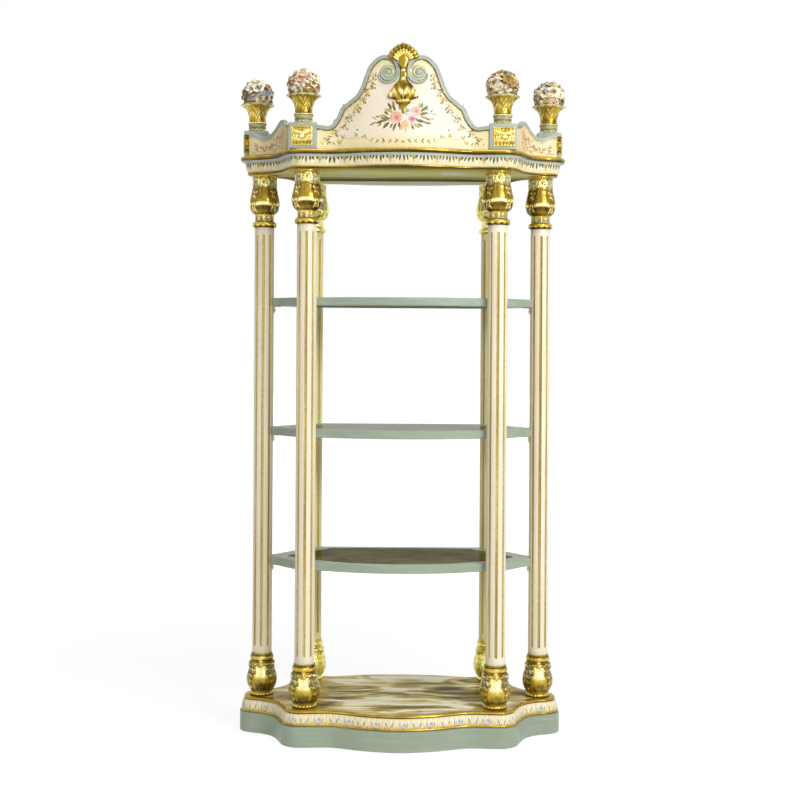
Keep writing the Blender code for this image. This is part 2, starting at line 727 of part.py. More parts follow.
def add_dies():
    """The blocks under the finials, each with a carved plaque standing proud."""
    for where, (x, y) in DIES.items():
        is_front = where.startswith("front")
        width = FRONT_DIE_WIDTH if is_front else OUTER_DIE_WIDTH
        depth = FRONT_DIE_DEPTH if is_front else OUTER_DIE_WIDTH
        block = bmesh.new()
        bmesh.ops.create_cube(block, size=1)
        bmesh.ops.scale(block, vec=(width, depth, DIE_HEIGHT), verts=block.verts)
        outwards = Vector((0, -1, 0)) if is_front else Vector((math.copysign(1, x), 0, 0))
        block.normal_update()
        face = next(face for face in block.faces if face.normal.dot(outwards) > 0.5)
        bmesh.ops.inset_individual(block, faces=[face], thickness=PLAQUE_MARGIN)
        raised = bmesh.ops.extrude_discrete_faces(block, faces=[face])["faces"][0]
        bmesh.ops.translate(block, vec=outwards * PLAQUE_PROUD, verts=raised.verts)
        mesh = bpy.data.meshes.new(f"die_{where}")
        block.to_mesh(mesh)
        block.free()
        piece = add_piece(f"die_{where}", mesh, (x, y, GALLERY_Z + DIE_HEIGHT / 2))
        finish(piece, "painted_green")


def front_edge_y(x):
    """How far forward the plan's front bow stands at this X."""
    half = smooth_through(front_bow() + lobe("front_right", FRONT_LOBE_SHARES[:2]), 4)
    return share_value([(point.x, point.y) for point in half], abs(x))


def pediment_half_width():
    """From the middle to the front dies, less the gap."""
    return FRONT_DIE_X - FRONT_DIE_WIDTH / 2 - FIT_GAP


def add_pediment():
    """The bowed panel between the front dies, shaped behind its scrolled trim."""
    half_width = pediment_half_width()
    edge = [(half_width * x, PEDIMENT_RISE * z - PANEL_EDGE_DROP) for x, z in CLIMB_SHARES + HEAD_SHARES]
    edge += [(-x, z) for x, z in reversed(edge[:-1])]
    middle = PEDIMENT_FACE_INSET + PEDIMENT_THICKNESS / 2
    half = PEDIMENT_THICKNESS / 2
    stations = []
    for x, top in edge:
        stations.append((Vector((x, front_edge_y(x) + middle)), Vector((0, 1)), top))
    section = ((half, 0), (half, -FIT_GAP), (-half, -FIT_GAP), (-half, 0))
    mesh = wall_mesh("pediment_panel", stations, section)
    piece = add_piece("pediment_panel", mesh, (0, 0, GALLERY_Z))
    finish(piece, "painted_cream")


def trim_path():
    """Middle line of the right trim, from the die up and round into the scroll's eye."""
    half_width = pediment_half_width()
    edge = [Vector((half_width * x, PEDIMENT_RISE * z)) for x, z in CLIMB_SHARES]
    path = []
    for index, point in enumerate(edge):
        before = edge[max(index - 1, 0)]
        after = edge[min(index + 1, len(edge) - 1)]
        along = (after - before).normalized()
        path.append(point - Vector((along.y, -along.x)) * TRIM_WIDTH / 2)
    path[0].x = edge[0].x
    clear = CREST_HALF_WIDTH * CREST_STEM_SHARE + SCROLL_GAP + TRIM_WIDTH / 2
    eye = Vector((clear + SCROLL_EYE_DROP * SCROLL_REACH_SHARE, PEDIMENT_RISE - SCROLL_EYE_DROP))
    for degrees, share in SCROLL_SHARES:
        angle = math.radians(degrees)
        path.append(eye + Vector((math.cos(angle), math.sin(angle))) * SCROLL_EYE_DROP * share)
    return path


def trim_mesh(name, side):
    """The trim as one swept solid on the panel's face; side is 1 on the right, -1 on the left."""
    path = trim_path()
    climb = len(CLIMB_SHARES)
    points = []
    for index, middle in enumerate(path):
        before = path[max(index - 1, 0)]
        after = path[min(index + 1, len(path) - 1)]
        along = (after - before).normalized()
        across = Vector((along.y, -along.x)) if index else Vector((0, 1))
        taper = max(index - climb, 0) / (len(path) - climb)
        half = TRIM_WIDTH / 2 * between(1, TRIM_END_WIDTH_SHARE, taper)
        ease = min(TRIM_CHAMFER, half / 2)
        for reach, depth in (
            (half, 0), (half, TRIM_DEPTH - ease), (half - ease, TRIM_DEPTH),
            (ease - half, TRIM_DEPTH), (-half, TRIM_DEPTH - ease), (-half, 0),
        ):
            spot = middle + across * reach
            y = front_edge_y(spot.x) + PEDIMENT_FACE_INSET - BOWED_GAP - depth
            points.append((side * spot.x, y, spot.y))
    count = 6
    faces = [tuple(range(count))]
    for index in range(len(path) - 1):
        low = index * count
        high = low + count
        for corner in range(count):
            following = (corner + 1) % count
            faces.append((low + corner, high + corner, high + following, low + following))
    faces.append(tuple(reversed(range(len(points) - count, len(points)))))
    if side < 0:
        faces = [tuple(reversed(face)) for face in faces]
    return mesh_from(name, points, faces)


def add_trims():
    """Scrolled trims on the face of the pediment."""
    for name, side in (("pediment_trim_right", 1), ("pediment_trim_left", -1)):
        piece = add_piece(name, trim_mesh(name, side), (0, 0, GALLERY_Z))
        finish(piece, "painted_green")


def add_crest():
    """Shell, stem and husk, carved in one, on the middle of the pediment."""
    right = [(CREST_HALF_WIDTH * x, -HUSK_DROP * z) for x, z in HUSK_SHARES]
    right += [(CREST_HALF_WIDTH * x, SHELL_HEIGHT * z) for x, z in SHELL_SHARES]
    outline = [(0, -HUSK_DROP)] + right + [(0, SHELL_HEIGHT)] + [(-x, z) for x, z in reversed(right)]
    count = len(outline)
    shrink = 1 - CREST_CHAMFER / CREST_HALF_WIDTH
    middle = (SHELL_HEIGHT - HUSK_DROP) / 2
    layers = ((0, 1), (CREST_THICKNESS - CREST_CHAMFER, 1), (CREST_THICKNESS, shrink))
    points = []
    for depth, share in layers:
        points += [(x * share, -depth, middle + (z - middle) * share) for x, z in outline]
    faces = [tuple(reversed(range(count)))]
    for level in range(len(layers) - 1):
        low = level * count
        for index in range(count):
            following = (index + 1) % count
            faces.append((low + index, low + following, low + count + following, low + count + index))
    faces.append(tuple(range(len(points) - count, len(points))))
    y = front_edge_y(0) + PEDIMENT_FACE_INSET - FIT_GAP
    mesh = mesh_from("crest_carving", points, faces)
    piece = add_piece("crest_carving", mesh, (0, y, GALLERY_Z + PEDIMENT_RISE))
    finish(piece, "gilded_wood")


def add_finials():
    """A turned vase and a flower ball on each die."""
    bore = bore_radius(DOWEL_RADIUS)
    bore_floor = VASE_HEIGHT - DOWEL_LENGTH - SPIGOT_END_ROOM
    profile = [(0, 0)] + scaled(VASE_SHARES, VASE_RADIUS, VASE_HEIGHT)
    profile += [(bore, VASE_HEIGHT), (bore, bore_floor), (0, bore_floor)]
    vase = turned_mesh("vase", profile, TURNED_SIDES)
    seat_radius = math.sqrt(BALL_RADIUS**2 - BALL_SEAT_DROP**2)
    profile = [(0, -DOWEL_LENGTH), (DOWEL_RADIUS, -DOWEL_LENGTH), (DOWEL_RADIUS, 0), (seat_radius, 0)]
    lowest = -math.asin(BALL_SEAT_DROP / BALL_RADIUS)
    bands = 7
    for band in range(1, bands):
        angle = between(lowest, math.pi / 2, band / bands)
        profile.append((BALL_RADIUS * math.cos(angle), BALL_SEAT_DROP + BALL_RADIUS * math.sin(angle)))
    profile.append((0, BALL_SEAT_DROP + BALL_RADIUS))
    ball = turned_mesh("ball", profile, TURNED_SIDES)
    for where, place in DIES.items():
        piece = add_piece(f"finial_vase_{where}", vase.copy(), (*place, VASE_Z))
        finish(piece, "gilded_wood")
        top = VASE_Z + VASE_HEIGHT + FIT_GAP
        piece = add_piece(f"flower_ball_{where}", ball.copy(), (*place, top))
        finish(piece, "flower_ball")


def main():
    clear_scene()
    add_base()
    add_feet()
    add_shafts()
    add_capitals()
    add_shelves()
    add_brackets()
    add_cornice()
    add_wings()
    add_dies()
    add_pediment()
    add_trims()
    add_crest()
    add_finials()


main()
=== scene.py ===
import math
import random
from bisect import bisect_right

import bmesh
import bpy
from bpy.props import FloatProperty, FloatVectorProperty, IntProperty, PointerProperty
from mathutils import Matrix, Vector, noise


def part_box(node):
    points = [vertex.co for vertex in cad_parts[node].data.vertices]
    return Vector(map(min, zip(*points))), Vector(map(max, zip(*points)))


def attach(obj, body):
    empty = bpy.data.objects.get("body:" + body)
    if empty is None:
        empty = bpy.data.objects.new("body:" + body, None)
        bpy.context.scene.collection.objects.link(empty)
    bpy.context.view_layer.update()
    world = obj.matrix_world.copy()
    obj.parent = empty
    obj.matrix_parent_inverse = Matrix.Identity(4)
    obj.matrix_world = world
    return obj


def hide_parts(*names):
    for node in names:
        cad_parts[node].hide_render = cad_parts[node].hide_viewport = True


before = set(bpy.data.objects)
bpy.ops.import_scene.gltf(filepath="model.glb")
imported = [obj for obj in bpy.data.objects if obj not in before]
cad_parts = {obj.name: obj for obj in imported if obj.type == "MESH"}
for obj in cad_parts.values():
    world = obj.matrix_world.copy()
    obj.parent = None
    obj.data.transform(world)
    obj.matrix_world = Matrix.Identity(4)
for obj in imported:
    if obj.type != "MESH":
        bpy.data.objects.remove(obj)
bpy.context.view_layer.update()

bl_info = {
    "name": "Serpentine display shelf",
    "version": (1, 0, 0),
    "blender": (4, 5, 0),
    "location": "3D View > Sidebar > Shelf",
    "description": "Paints, gilds and carves a display shelf round its plain solids",
    "category": "Add Mesh",
}

# Lengths are in metres, +Z is up and the front is towards -Y.
FIT_GAP = 0.0003
COLUMNS = ("front_left", "front_right", "outer_left", "outer_right", "back_left", "back_right")
DIES = COLUMNS[:4]
SHELVES = (1, 2, 3)
SIDES = (("right", 1), ("left", -1))


def low(node):
    """Lowest corner of a solid."""
    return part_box(node)[0]


def high(node):
    """Highest corner of a solid."""
    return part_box(node)[1]


def axis_of(node):
    """Where a turned solid's axis stands."""
    middle = (low(node) + high(node)) / 2
    return Vector((middle.x, middle.y))


# Levels, taken from the solids
PLINTH_TOP = high("plinth").z
MOULDING_Z = low("base_moulding").z
BASE_TOP = high("base_panel").z
FOOT_Z = BASE_TOP + FIT_GAP
FOOT_HEIGHT = high("foot_front_left").z - FOOT_Z
SHAFT_Z = FOOT_Z + FOOT_HEIGHT + FIT_GAP
CAPITAL_Z = low("capital_front_left").z
SHAFT_HEIGHT = CAPITAL_Z - FIT_GAP - SHAFT_Z
CORNICE_Z = low("soffit_panel").z
CROWN_Z = low("crown_moulding").z
GALLERY_Z = low("pediment_panel").z
VASE_Z = low("finial_vase_front_left").z
BALL_RADIUS = (high("flower_ball_front_left").x - low("flower_ball_front_left").x) / 2
BALL_Z = high("flower_ball_front_left").z - BALL_RADIUS
SHAFT_RADIUS = (high("shaft_front_left").x - low("shaft_front_left").x) / 2
SHAFT_EDGE = 0.0008
SIDES_PER_FLUTE = 14

# Smooth steps between two corners of the plinth's outline, and between two points of a profile
OUTLINE_STEPS = 7
PROFILE_STEPS = 4
# The outline's front edge lies before this Y
FRONT_PART_Y = -0.2


def mm(*rows):
    """Rows of measures in millimetres, as metres."""
    return tuple(tuple(value / 1000 for value in row) for row in rows)


# Edge profiles, as (inset from the outline, height) pairs
PLINTH_PROFILE = mm((1.8, 0), (0.3, 1.5), (0.3, 64), (1.9, 65.6))
BASE_BAND_PROFILE = mm((30, 6), (8.8, 6), (7, 13), (7.2, 20), (9, 29), (12.2, 36), (16, 41), (30, 41))
BASE_CORE_PROFILE = mm((4.5, 0), (4.5, 6.2), (20.5, 6.2), (20.5, 39.5))
SOFFIT_INSET = 0.023
SOFFIT_THICKNESS = 0.01
CROWN_INSET = 0.004
CROWN_EDGE = 0.001
CROWN_BOARD_Z = 0.0555
CORNICE_BAND_PROFILE = mm(
    (40, 5), (18.8, 5), (16.2, 9), (13.6, 15), (11.4, 22), (9.8, 30), (9, 38.8), (40, 38.8),
)
COVE_PROFILE = mm(
    (40, 38), (8.4, 38), (7.8, 39.5), (4.6, 40.2), (4.8, 42), (4, 44), (2.2, 46.5), (0.5, 48),
    (0.5, 56), (40, 56),
)
# The marbled panel's rings, as (share of its edge, height, share of gold)
PANEL_INSET = 0.019
PANEL_RINGS = (
    (1, MOULDING_Z + 0.04, 1.0), (1, BASE_TOP, 1.0), (0.95, BASE_TOP, 0.7), (0.86, BASE_TOP, 0.0),
    (0.45, BASE_TOP, 0.0),
)
# Gilded rolls, as (name, inset, height above the floor, radius, solids that they stand for)
GILT_ROLLS = (
    ("base_fillet", 0.0085, MOULDING_Z + 0.005, 0.005, ()),
    ("base_rim", 0.0182, MOULDING_Z + 0.0452, 0.0046, ()),
    ("base_rim_bead", 0.0252, MOULDING_Z + 0.0497, 0.0022, ()),
    ("cornice_fillet", 0.0192, CORNICE_Z + 0.0049, 0.0048, ()),
    ("crown_roll", -0.001, CROWN_Z + 0.0158, 0.0084, ("crown_moulding",)),
)

# Turned profiles, as (radius, height) pairs
FOOT_PROFILE = mm(
    (38.5, 0), (40, 2.5), (40.2, 8.5), (38.2, 11.2), (36.8, 13), (37.6, 16.5), (41.2, 23.5), (46, 34),
    (49, 46), (49.6, 57), (48.4, 69), (45.8, 80), (43, 89.5), (41.6, 97), (42, 103), (43.6, 108),
    (43.8, 112), (41.8, 115.5), (38.8, 118), (38, 121.5), (39.6, 125.5), (40.4, 129.5), (39.8, 134),
    (37.6, 136.8), (36.6, 140), (36.6, 144),
)
CAPITAL_PROFILE = mm(
    (37.2, 0), (39.8, 3.5), (41, 8), (40.8, 12.5), (38.6, 17), (34, 20), (31.8, 22.5), (31.2, 29),
    (32, 40), (35, 45.5), (42.4, 52), (47.4, 61), (49.4, 72), (49.8, 83), (49, 95), (46.6, 107),
    (43.8, 119), (41.8, 130), (41, 138), (40.4, 148), (40.2, 160), (40.5, 169), (42, 174.5),
    (42.2, 179.7),
)
# Zones of a foot, and half the width of its shields and their painted shine up the bulb: a painted
# highlight near the top and painted shade in a low band
FOOT_BAND_TOP = 0.015
FOOT_BULB_Z = 0.017
FOOT_BULB_HEIGHT = 0.086
FOOT_NECK_Z = 0.1165
FOOT_SHIELDS = 3
SHIELD_HALVES = (
    (0, 0.022), (0.1, 0.0285), (0.34, 0.0335), (0.52, 0.03), (0.72, 0.019), (0.86, 0.019),
    (0.96, 0.0215), (1.04, 0.015), (1.2, 0.0),
)
SHIELD_SHINE = ((0, 0.52), (0.08, 0.28), (0.22, 0.28), (0.4, 0.54), (0.6, 0.98), (1, 1.05))
# Zones of a capital, and its frieze's scrolls as (place aside, place above, size)
CAPITAL_RING_TOP = 0.0205
CAPITAL_NECK_TOP = 0.045
CAPITAL_LEAF_TOP = 0.131
CAPITAL_FRIEZE_Z = 0.14
CAPITAL_FRIEZE_TOP = 0.1725
CAPITAL_SCROLLS = mm((8.5, 3.5, 6.4), (11.5, 18.5, 7), (0, 24.5, 6))
CAPITAL_LEAVES = 4
# Zones of a vase
VASE_NECK_TOP = 0.0265
VASE_RING_TOP = 0.035
VASE_CUP_TOP = 0.088
VASE_LEAVES = 6
VASE_SIDES = 112
VASE_BEADS = 12
VASE_BEAD_RING = 0.0285
VASE_BEAD_RADIUS = 0.0042
VASE_BEAD_Z = 0.0045
VASE_PROFILE = mm(
    (31, 0), (31.2, 2), (29.2, 6), (29.6, 12), (30, 24), (31.8, 26.5), (33.6, 29.5), (31.8, 33),
    (28.4, 36), (28.4, 46), (30, 58), (33.6, 69), (40, 79), (48.5, 86), (55.5, 90), (57, 93), (53, 95),
    (40, 95),
)
# Flower balls: how many lumps, the usual reach and the lumps' height, as shares of the radius
LUMPS_ROUND_BALL = 5.5
BALL_REACH = 0.955
BALL_LUMP = 0.11
# Parts of a painted leaf, of a fine line between two places, and of a dot
LEAF_STEPS = 5
LINE_STEPS = 4
DOT_SIDES = 12
# About how long a group of buds is, and a swag of hanging strokes
BUD_GROUP_LENGTH = 0.096
SWAG_LENGTH = 0.08
CARVED_SIDES = 128
CARVED_ROWS_PER_STEP = 4

# Room round a pane and the seat that it lies on, its edge, and the sides of a column's notch
PANE_ROOM = 0.0004
PANE_SEAT = 0.006
PANE_EDGE = 0.0008
NOTCH_SIDES = 48
# Shelves, as shares of the way between the columns' axes
SHELF_BOW = 0.04
SHELF_BOW_SHARES = ((0, 1), (0.283, 0.84), (0.566, 0.33), (0.786, -0.28), (0.94, -0.48))
SHELF_FRONT_SHARES = ((0.171, 0.241), (0.424, 0.476), (0.646, 0.741), (0.823, 0.87))
SHELF_BACK_SHARES = ((0.177, 0.11), (0.323, 0.243), (0.576, 0.504), (0.797, 0.7), (1, 0.978))
GLASS_SHARES = (
    (0, 0), (0.23, 0.02), (0.44, 0.07), (0.65, 0.18), (0.86, 0.33), (0.98, 0.45), (0.98, 0.52),
    (0.87, 0.67), (0.77, 0.81), (0.67, 0.93), (0.58, 0.995), (0, 1),
)

# Gallery
PEDIMENT_RISE = high("pediment_trim_left").z - GALLERY_Z
PEDIMENT_HALF_WIDTH = high("pediment_panel").x
PEDIMENT_FACE_INSET = 0.012
TRIM_WIDTH = 0.016
TRIM_DEPTH = 0.0095
TRIM_CUSPS = (0.1905, 0.219)
SCROLL_EYE = Vector((0.0503, PEDIMENT_RISE - 0.058))
SCROLL_REACH = 0.058
SCROLL_TURNS = (
    (100, 0.83), (125, 0.71), (150, 0.605), (180, 0.55), (210, 0.54), (240, 0.548), (270, 0.56),
    (300, 0.56), (330, 0.53), (355, 0.48),
)
PEDIMENT_FIT = 0.978
CREST_DROP = 0.006
SHELL_RIBS = 9
COLUMNS_PER_RIB = 12
SHELL_REACHES = ((0, 0.064), (0.16, 0.061), (0.45, 0.0575), (0.88, 0.056), (1, 0.048))
WING_HALF = 0.006
WING_FACE_INSET = 0.004
WING_UNDER_CAP = 0.004
WING_CAP_PROUD = 0.0025
WING_CAP_HEIGHT = 0.015

# Dies: the rounding of their corners, where the plaques and the narrow corner fields lie, how
# proud they stand, and the gold's tone in their hollows, kept dark on the corner fields as painted shade
DIE_ROUND = 0.003
PLAQUE_PROUD = 0.003
PLAQUE_SIDE = 0.012
PLAQUE_SHIFT = 0.003
PLAQUE_BELOW = 0.0105
PLAQUE_ABOVE = 0.013
CORNER_FIELD_X = 0.5265
CORNER_FIELD_PROUD = 0.0012
PLAQUE_SHADE = 0.16
CORNER_FIELD_SHADE = -0.04

# Camera, fitted to the photograph
PHOTO_SIZE = 800
CAMERA_PLACE = (0.0, -4.981, 1.34)
CAMERA_LENS = 64.8
SENSOR = 36.0
CAMERA_SHIFT_PIXELS = (-1.75, -59.5)
CAMERA_ROLL = -0.36

# Stage, with the lamps as (name, place, size, power)
WHITE = (1, 1, 1, 1)
FLOOR_REACH = 30
FLOOR_DROP = 0.0005
FLOOR_GREY = (0.86, 0.86, 0.86, 1)
FLOOR_GLOW = 1.12
ROOM_LIGHT = 0.4
LAMPS = (
    ("key_lamp", (2.8, -4.3, 3.2), 1.8, 174), ("fill_lamp", (-3.2, -3.8, 1.8), 2.4, 8),
    ("top_lamp", (0.4, -0.8, 4.8), 2.4, 46),
)
LAMPS_AIM_AT = (0, 0, 1.1)


def tint(code):
    """A colour from its usual six hexadecimal digits, as linear light; other colours stay."""
    if not isinstance(code, str):
        return code
    parts = [int(code[place:place + 2], 16) / 255 for place in (0, 2, 4)]
    return [part / 12.92 if part <= 0.04045 else ((part + 0.055) / 1.055) ** 2.4 for part in parts]


def compass(degrees):
    """The way that lies this far round, with a reach of 1."""
    return Vector((math.cos(math.radians(degrees)), math.sin(math.radians(degrees))))


def turns(sides):
    """The angles of evenly spaced sides."""
    return [math.tau * side / sides for side in range(sides)]


def turned(reach, angle, height):
    """A point this far from the axis."""
    return reach * math.cos(angle), reach * math.sin(angle), height


def between(start, end, share):
    """The value a share of the way from start to end."""
    return start + (end - start) * share


def ease(value, start, end):
    """0 up to start, 1 from end on, and smooth between them."""
    share = min(1, max(0, (value - start) / (end - start)))
    return share * share * (3 - 2 * share)


def bump(value, middle, reach):
    """A rounded rise of 1 at the middle, 0 beyond its reach."""
    return max(0, 1 - ((value - middle) / reach) ** 2)


def smooth_line(points, steps, closed=False):
    """A curve through the points, with this many steps between each two."""
    points = [Vector(point) for point in points]
    count = len(points)
    curve = []
    for index in range(count if closed else count - 1):
        if closed:
            before, start, end, after = (points[(index + step) % count] for step in (-1, 0, 1, 2))
        else:
            before, start = points[max(index - 1, 0)], points[index]
            end, after = points[index + 1], points[min(index + 2, count - 1)]
        for step in range(steps):
            t = step / steps
            pull = (end - before) * t + (2 * before - 5 * start + 4 * end - after) * t**2
            curve.append(start + (pull + (3 * start - before - 3 * end + after) * t**3) / 2)
    if not closed:
        curve.append(points[-1])
    return curve


def heading_at(line, index):
    """Which way an open line runs at one of its points."""
    return (line[min(index + 1, len(line) - 1)] - line[max(index - 1, 0)]).normalized()


def distances(points):
    """How far along its run each point lies."""
    run = [0.0]
    for before, after in zip(points, points[1:]):
        run.append(run[-1] + (after - before).length)
    return run


def step_at(run, place):
    """Which step of a run holds this place, and how much of the step comes before it."""
    index = next(i for i in range(len(run) - 1) if run[i + 1] >= place)
    return index, (place - run[index]) / max(run[index + 1] - run[index], 1e-9)


def read_off(pairs, value):
    """The second value of sorted pairs where the first is this value."""
    for (start, start_value), (end, end_value) in zip(pairs, pairs[1:]):
        if value <= end:
            share = (value - start) / max(end - start, 1e-9)
            return between(start_value, end_value, max(0, share))
    return pairs[-1][1]


class Outline:
    """A closed curve seen from above, anticlockwise, with the way outwards at each point."""

    def __init__(self, corners, steps=OUTLINE_STEPS):
        self.points = smooth_line(corners, steps, closed=True)
        count = len(self.points)
        self.outwards = []
        for index in range(count):
            along = (self.points[(index + 1) % count] - self.points[index - 1]).normalized()
            self.outwards.append(Vector((along.y, -along.x)))
        self.run = distances(self.points + self.points[:1])

    @property
    def length(self):
        return self.run[-1]

    def at(self, distance):
        """The point and the way outwards this far along."""
        distance %= self.length
        first = bisect_right(self.run, distance) - 1
        share = (distance - self.run[first]) / (self.run[first + 1] - self.run[first])
        after = (first + 1) % len(self.points)
        point = self.points[first].lerp(self.points[after], share)
        return point, self.outwards[first].lerp(self.outwards[after], share).normalized()

    def inset(self, distance):
        """The outline's points moved inwards."""
        return [point - way * distance for point, way in zip(self.points, self.outwards)]


def plan_corners():
    """The corners of the serpentine plan, read off the plinth's underside."""
    ring = set()
    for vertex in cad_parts["plinth"].data.vertices:
        if vertex.co.z < PLINTH_TOP / 4:
            ring.add((round(vertex.co.x, 5), round(vertex.co.y, 5)))
    return sorted(ring, key=lambda corner: math.atan2(corner[1], corner[0]))


PLAN = Outline(plan_corners())
FRONT_EDGE = sorted((point.x, point.y) for point in PLAN.points if point.y < FRONT_PART_Y)


def front_y(x):
    """How far forward the plan's front edge stands at this X."""
    return read_off(FRONT_EDGE, x)


def length_choice(name, description, default):
    """A length that a maker may change."""
    return FloatProperty(name=name, description=description, default=default, unit="LENGTH")


def colour_choice(name, description, code):
    """A colour that a maker may change."""
    return FloatVectorProperty(
        name=name, description=description, default=tint(code), subtype="COLOR", size=3
    )


class ShelfSizes(bpy.types.PropertyGroup):
    """Sizes that a maker may change."""

    flute_count: IntProperty(name="Flutes", description="Flutes round a shaft", default=8, min=4)
    flute_width: length_choice("Flute width", "Width of a flute", 0.0094)
    flute_depth: length_choice("Flute depth", "Depth of a flute", 0.003)
    flute_margin: length_choice("Flute margin", "Plain length at a shaft's ends", 0.025)
    foot_beads: IntProperty(name="Foot beads", description="Beads round a foot", default=20, min=6)
    bead_radius: length_choice("Bead radius", "Radius of a bead under a foot", 0.0058)
    leaf_depth: length_choice("Leaf depth", "Depth of the carved leaves", 0.003)
    blossom_radius: length_choice("Blossom radius", "Radius of a blossom", 0.0215)
    blossom_spacing: length_choice("Blossom spacing", "Least way between blossoms", 0.0225)
    paint_lift: length_choice("Paint lift", "How proud a painted stroke stands", 0.0004)
    frame_round: length_choice("Edge round", "Rounding of a board's edges", 0.0016)


class ShelfColours(bpy.types.PropertyGroup):
    """Colours that a maker may change."""

    green: colour_choice("Grey-green", "Painted frames and plinth", "9dac96")
    cream: colour_choice("Cream", "Painted fields", "f3e6cf")
    border: colour_choice("Border cream", "Edges of the fields", "f1e2ae")
    shaft: colour_choice("Shaft", "Paint of the shafts", "efe3c6")
    gold: colour_choice("Gold", "Gold leaf", "d0b03c")
    gold_light: colour_choice("Light gold", "Gold leaf on the crests", "fff6b4")
    gold_dark: colour_choice("Dark gold", "Gold leaf in the hollows", "4f3c0a")
    glass: colour_choice("Glass", "Smoked glass", "564c12")


def sizes():
    """The maker's sizes."""
    return bpy.context.scene.shelf_sizes


def colours():
    """The maker's colours."""
    return bpy.context.scene.shelf_colours


class Wire:
    """One output of a node: used in a sum, it adds the Math nodes of that sum."""

    def __init__(self, graph, node, key=0):
        self.graph = graph
        self.node = node
        self.socket = node.outputs[key] if node.outputs else None

    def out(self, key):
        """Another output of the same node."""
        return Wire(self.graph, self.node, key)

    def join(self, operation, *values):
        """One Math node on these values."""
        return self.graph.node("ShaderNodeMath", dict(enumerate(values)), operation=operation)

    def __add__(self, other):
        return self.join("ADD", self, other)

    def __radd__(self, other):
        return self.join("ADD", other, self)

    def __sub__(self, other):
        return self.join("SUBTRACT", self, other)

    def __rsub__(self, other):
        return self.join("SUBTRACT", other, self)

    def __mul__(self, other):
        return self.join("MULTIPLY", self, other)

    def at_most(self, other):
        return self.join("MINIMUM", self, other)

    def at_least(self, other):
        return self.join("MAXIMUM", self, other)

    def absolute(self):
        return self.join("ABSOLUTE", self)

    def stretch(self, start, end, low_value=0.0, high_value=1.0):
        """The value moved from one range to another, smoothly and within it."""
        values = dict(enumerate((self, start, end, low_value, high_value)))
        return self.graph.node("ShaderNodeMapRange", values, interpolation_type="SMOOTHSTEP")


class Graph:
    """Adds nodes to one tree."""

    def __init__(self, tree):
        self.tree = tree

    def node(self, kind, values=None, **settings):
        """A node of this kind, with its settings first and then its sockets' values or links."""
        node = self.tree.nodes.new(kind)
        for name, setting in settings.items():
            setattr(node, name, setting)
        for key, value in (values or {}).items():
            self.feed(node.inputs[key], value)
        return Wire(self, node)

    def feed(self, socket, value):
        """Link a wire to a socket, or set its value."""
        if isinstance(value, Wire):
            self.tree.links.new(value.socket, socket)
        else:
            socket.default_value = value

    def mix(self, factor, first, second):
        """Two colours mixed."""
        values = {0: factor, 6: opaque(first), 7: opaque(second)}
        return self.node("ShaderNodeMix", values, data_type="RGBA").out(2)

    def ramp(self, factor, stops, interpolation="LINEAR"):
        """A colour ramp."""
        made = self.node("ShaderNodeValToRGB", {0: factor})
        ramp = made.node.color_ramp
        ramp.interpolation = interpolation
        while len(ramp.elements) < len(stops):
            ramp.elements.new(1)
        for element, (place, colour) in zip(ramp.elements, stops):
            element.position = place
            element.color = opaque(colour)
        return made

    def attribute(self, name, output="Fac"):
        """A named value or colour that the mesh holds."""
        return self.node("ShaderNodeAttribute", attribute_name=name).out(output)

    def noise(self, scale, detail=3.0, stretch=(1, 1, 1), distortion=0.0, roughness=0.5):
        """Noise in the object's own metres."""
        place = self.node("ShaderNodeTexCoord").out("Object")
        return self.node("ShaderNodeTexNoise", {
            "Vector": self.node("ShaderNodeMapping", {"Vector": place, "Scale": stretch}),
            "Scale": scale, "Detail": detail, "Distortion": distortion, "Roughness": roughness,
        })

    def place(self, axis):
        """One of the object's own coordinates."""
        spot = self.node("ShaderNodeTexCoord").out("Object")
        return self.node("ShaderNodeSeparateXYZ", {0: spot}).out(axis)

    def behind(self):
        """1 at the back columns, 0 at the others: where a painted yellow glow stands in for the light
        that they catch.
        """
        return self.place("Y").stretch(0.08, 0.14)

    def raised(self, height, distance, strength):
        """A normal for a height that varies over the surface."""
        values = {"Height": height, "Distance": distance, "Strength": strength}
        return self.node("ShaderNodeBump", values)

    def camera_sees(self):
        """1 where a ray comes from the camera, a reflection or a clear pane."""
        rays = self.node("ShaderNodeLightPath")
        kinds = [rays.out(f"Is {kind} Ray") for kind in ("Camera", "Glossy", "Transmission")]
        return (kinds[0] + kinds[1] + kinds[2]).at_most(1)


def opaque(colour):
    """A colour with its alpha, or the wire that it is."""
    return colour if isinstance(colour, Wire) else (*tint(colour)[:3], 1)


def cleared_graph(owner):
    """The empty node tree of a material or of the surroundings."""
    owner.use_nodes = True
    owner.node_tree.nodes.clear()
    return Graph(owner.node_tree)


def gilt_stops():
    """Gold leaf from a hollow to a crest."""
    tone = colours()
    gold, light, dark = tone.gold[:], tone.gold_light[:], tone.gold_dark[:]
    return (
        (0.0, [part * 0.4 for part in dark]), (0.2, dark),
        (0.46, [between(a, b, 0.5) for a, b in zip(dark, gold)]),
        (0.7, gold), (0.98, light),
    )


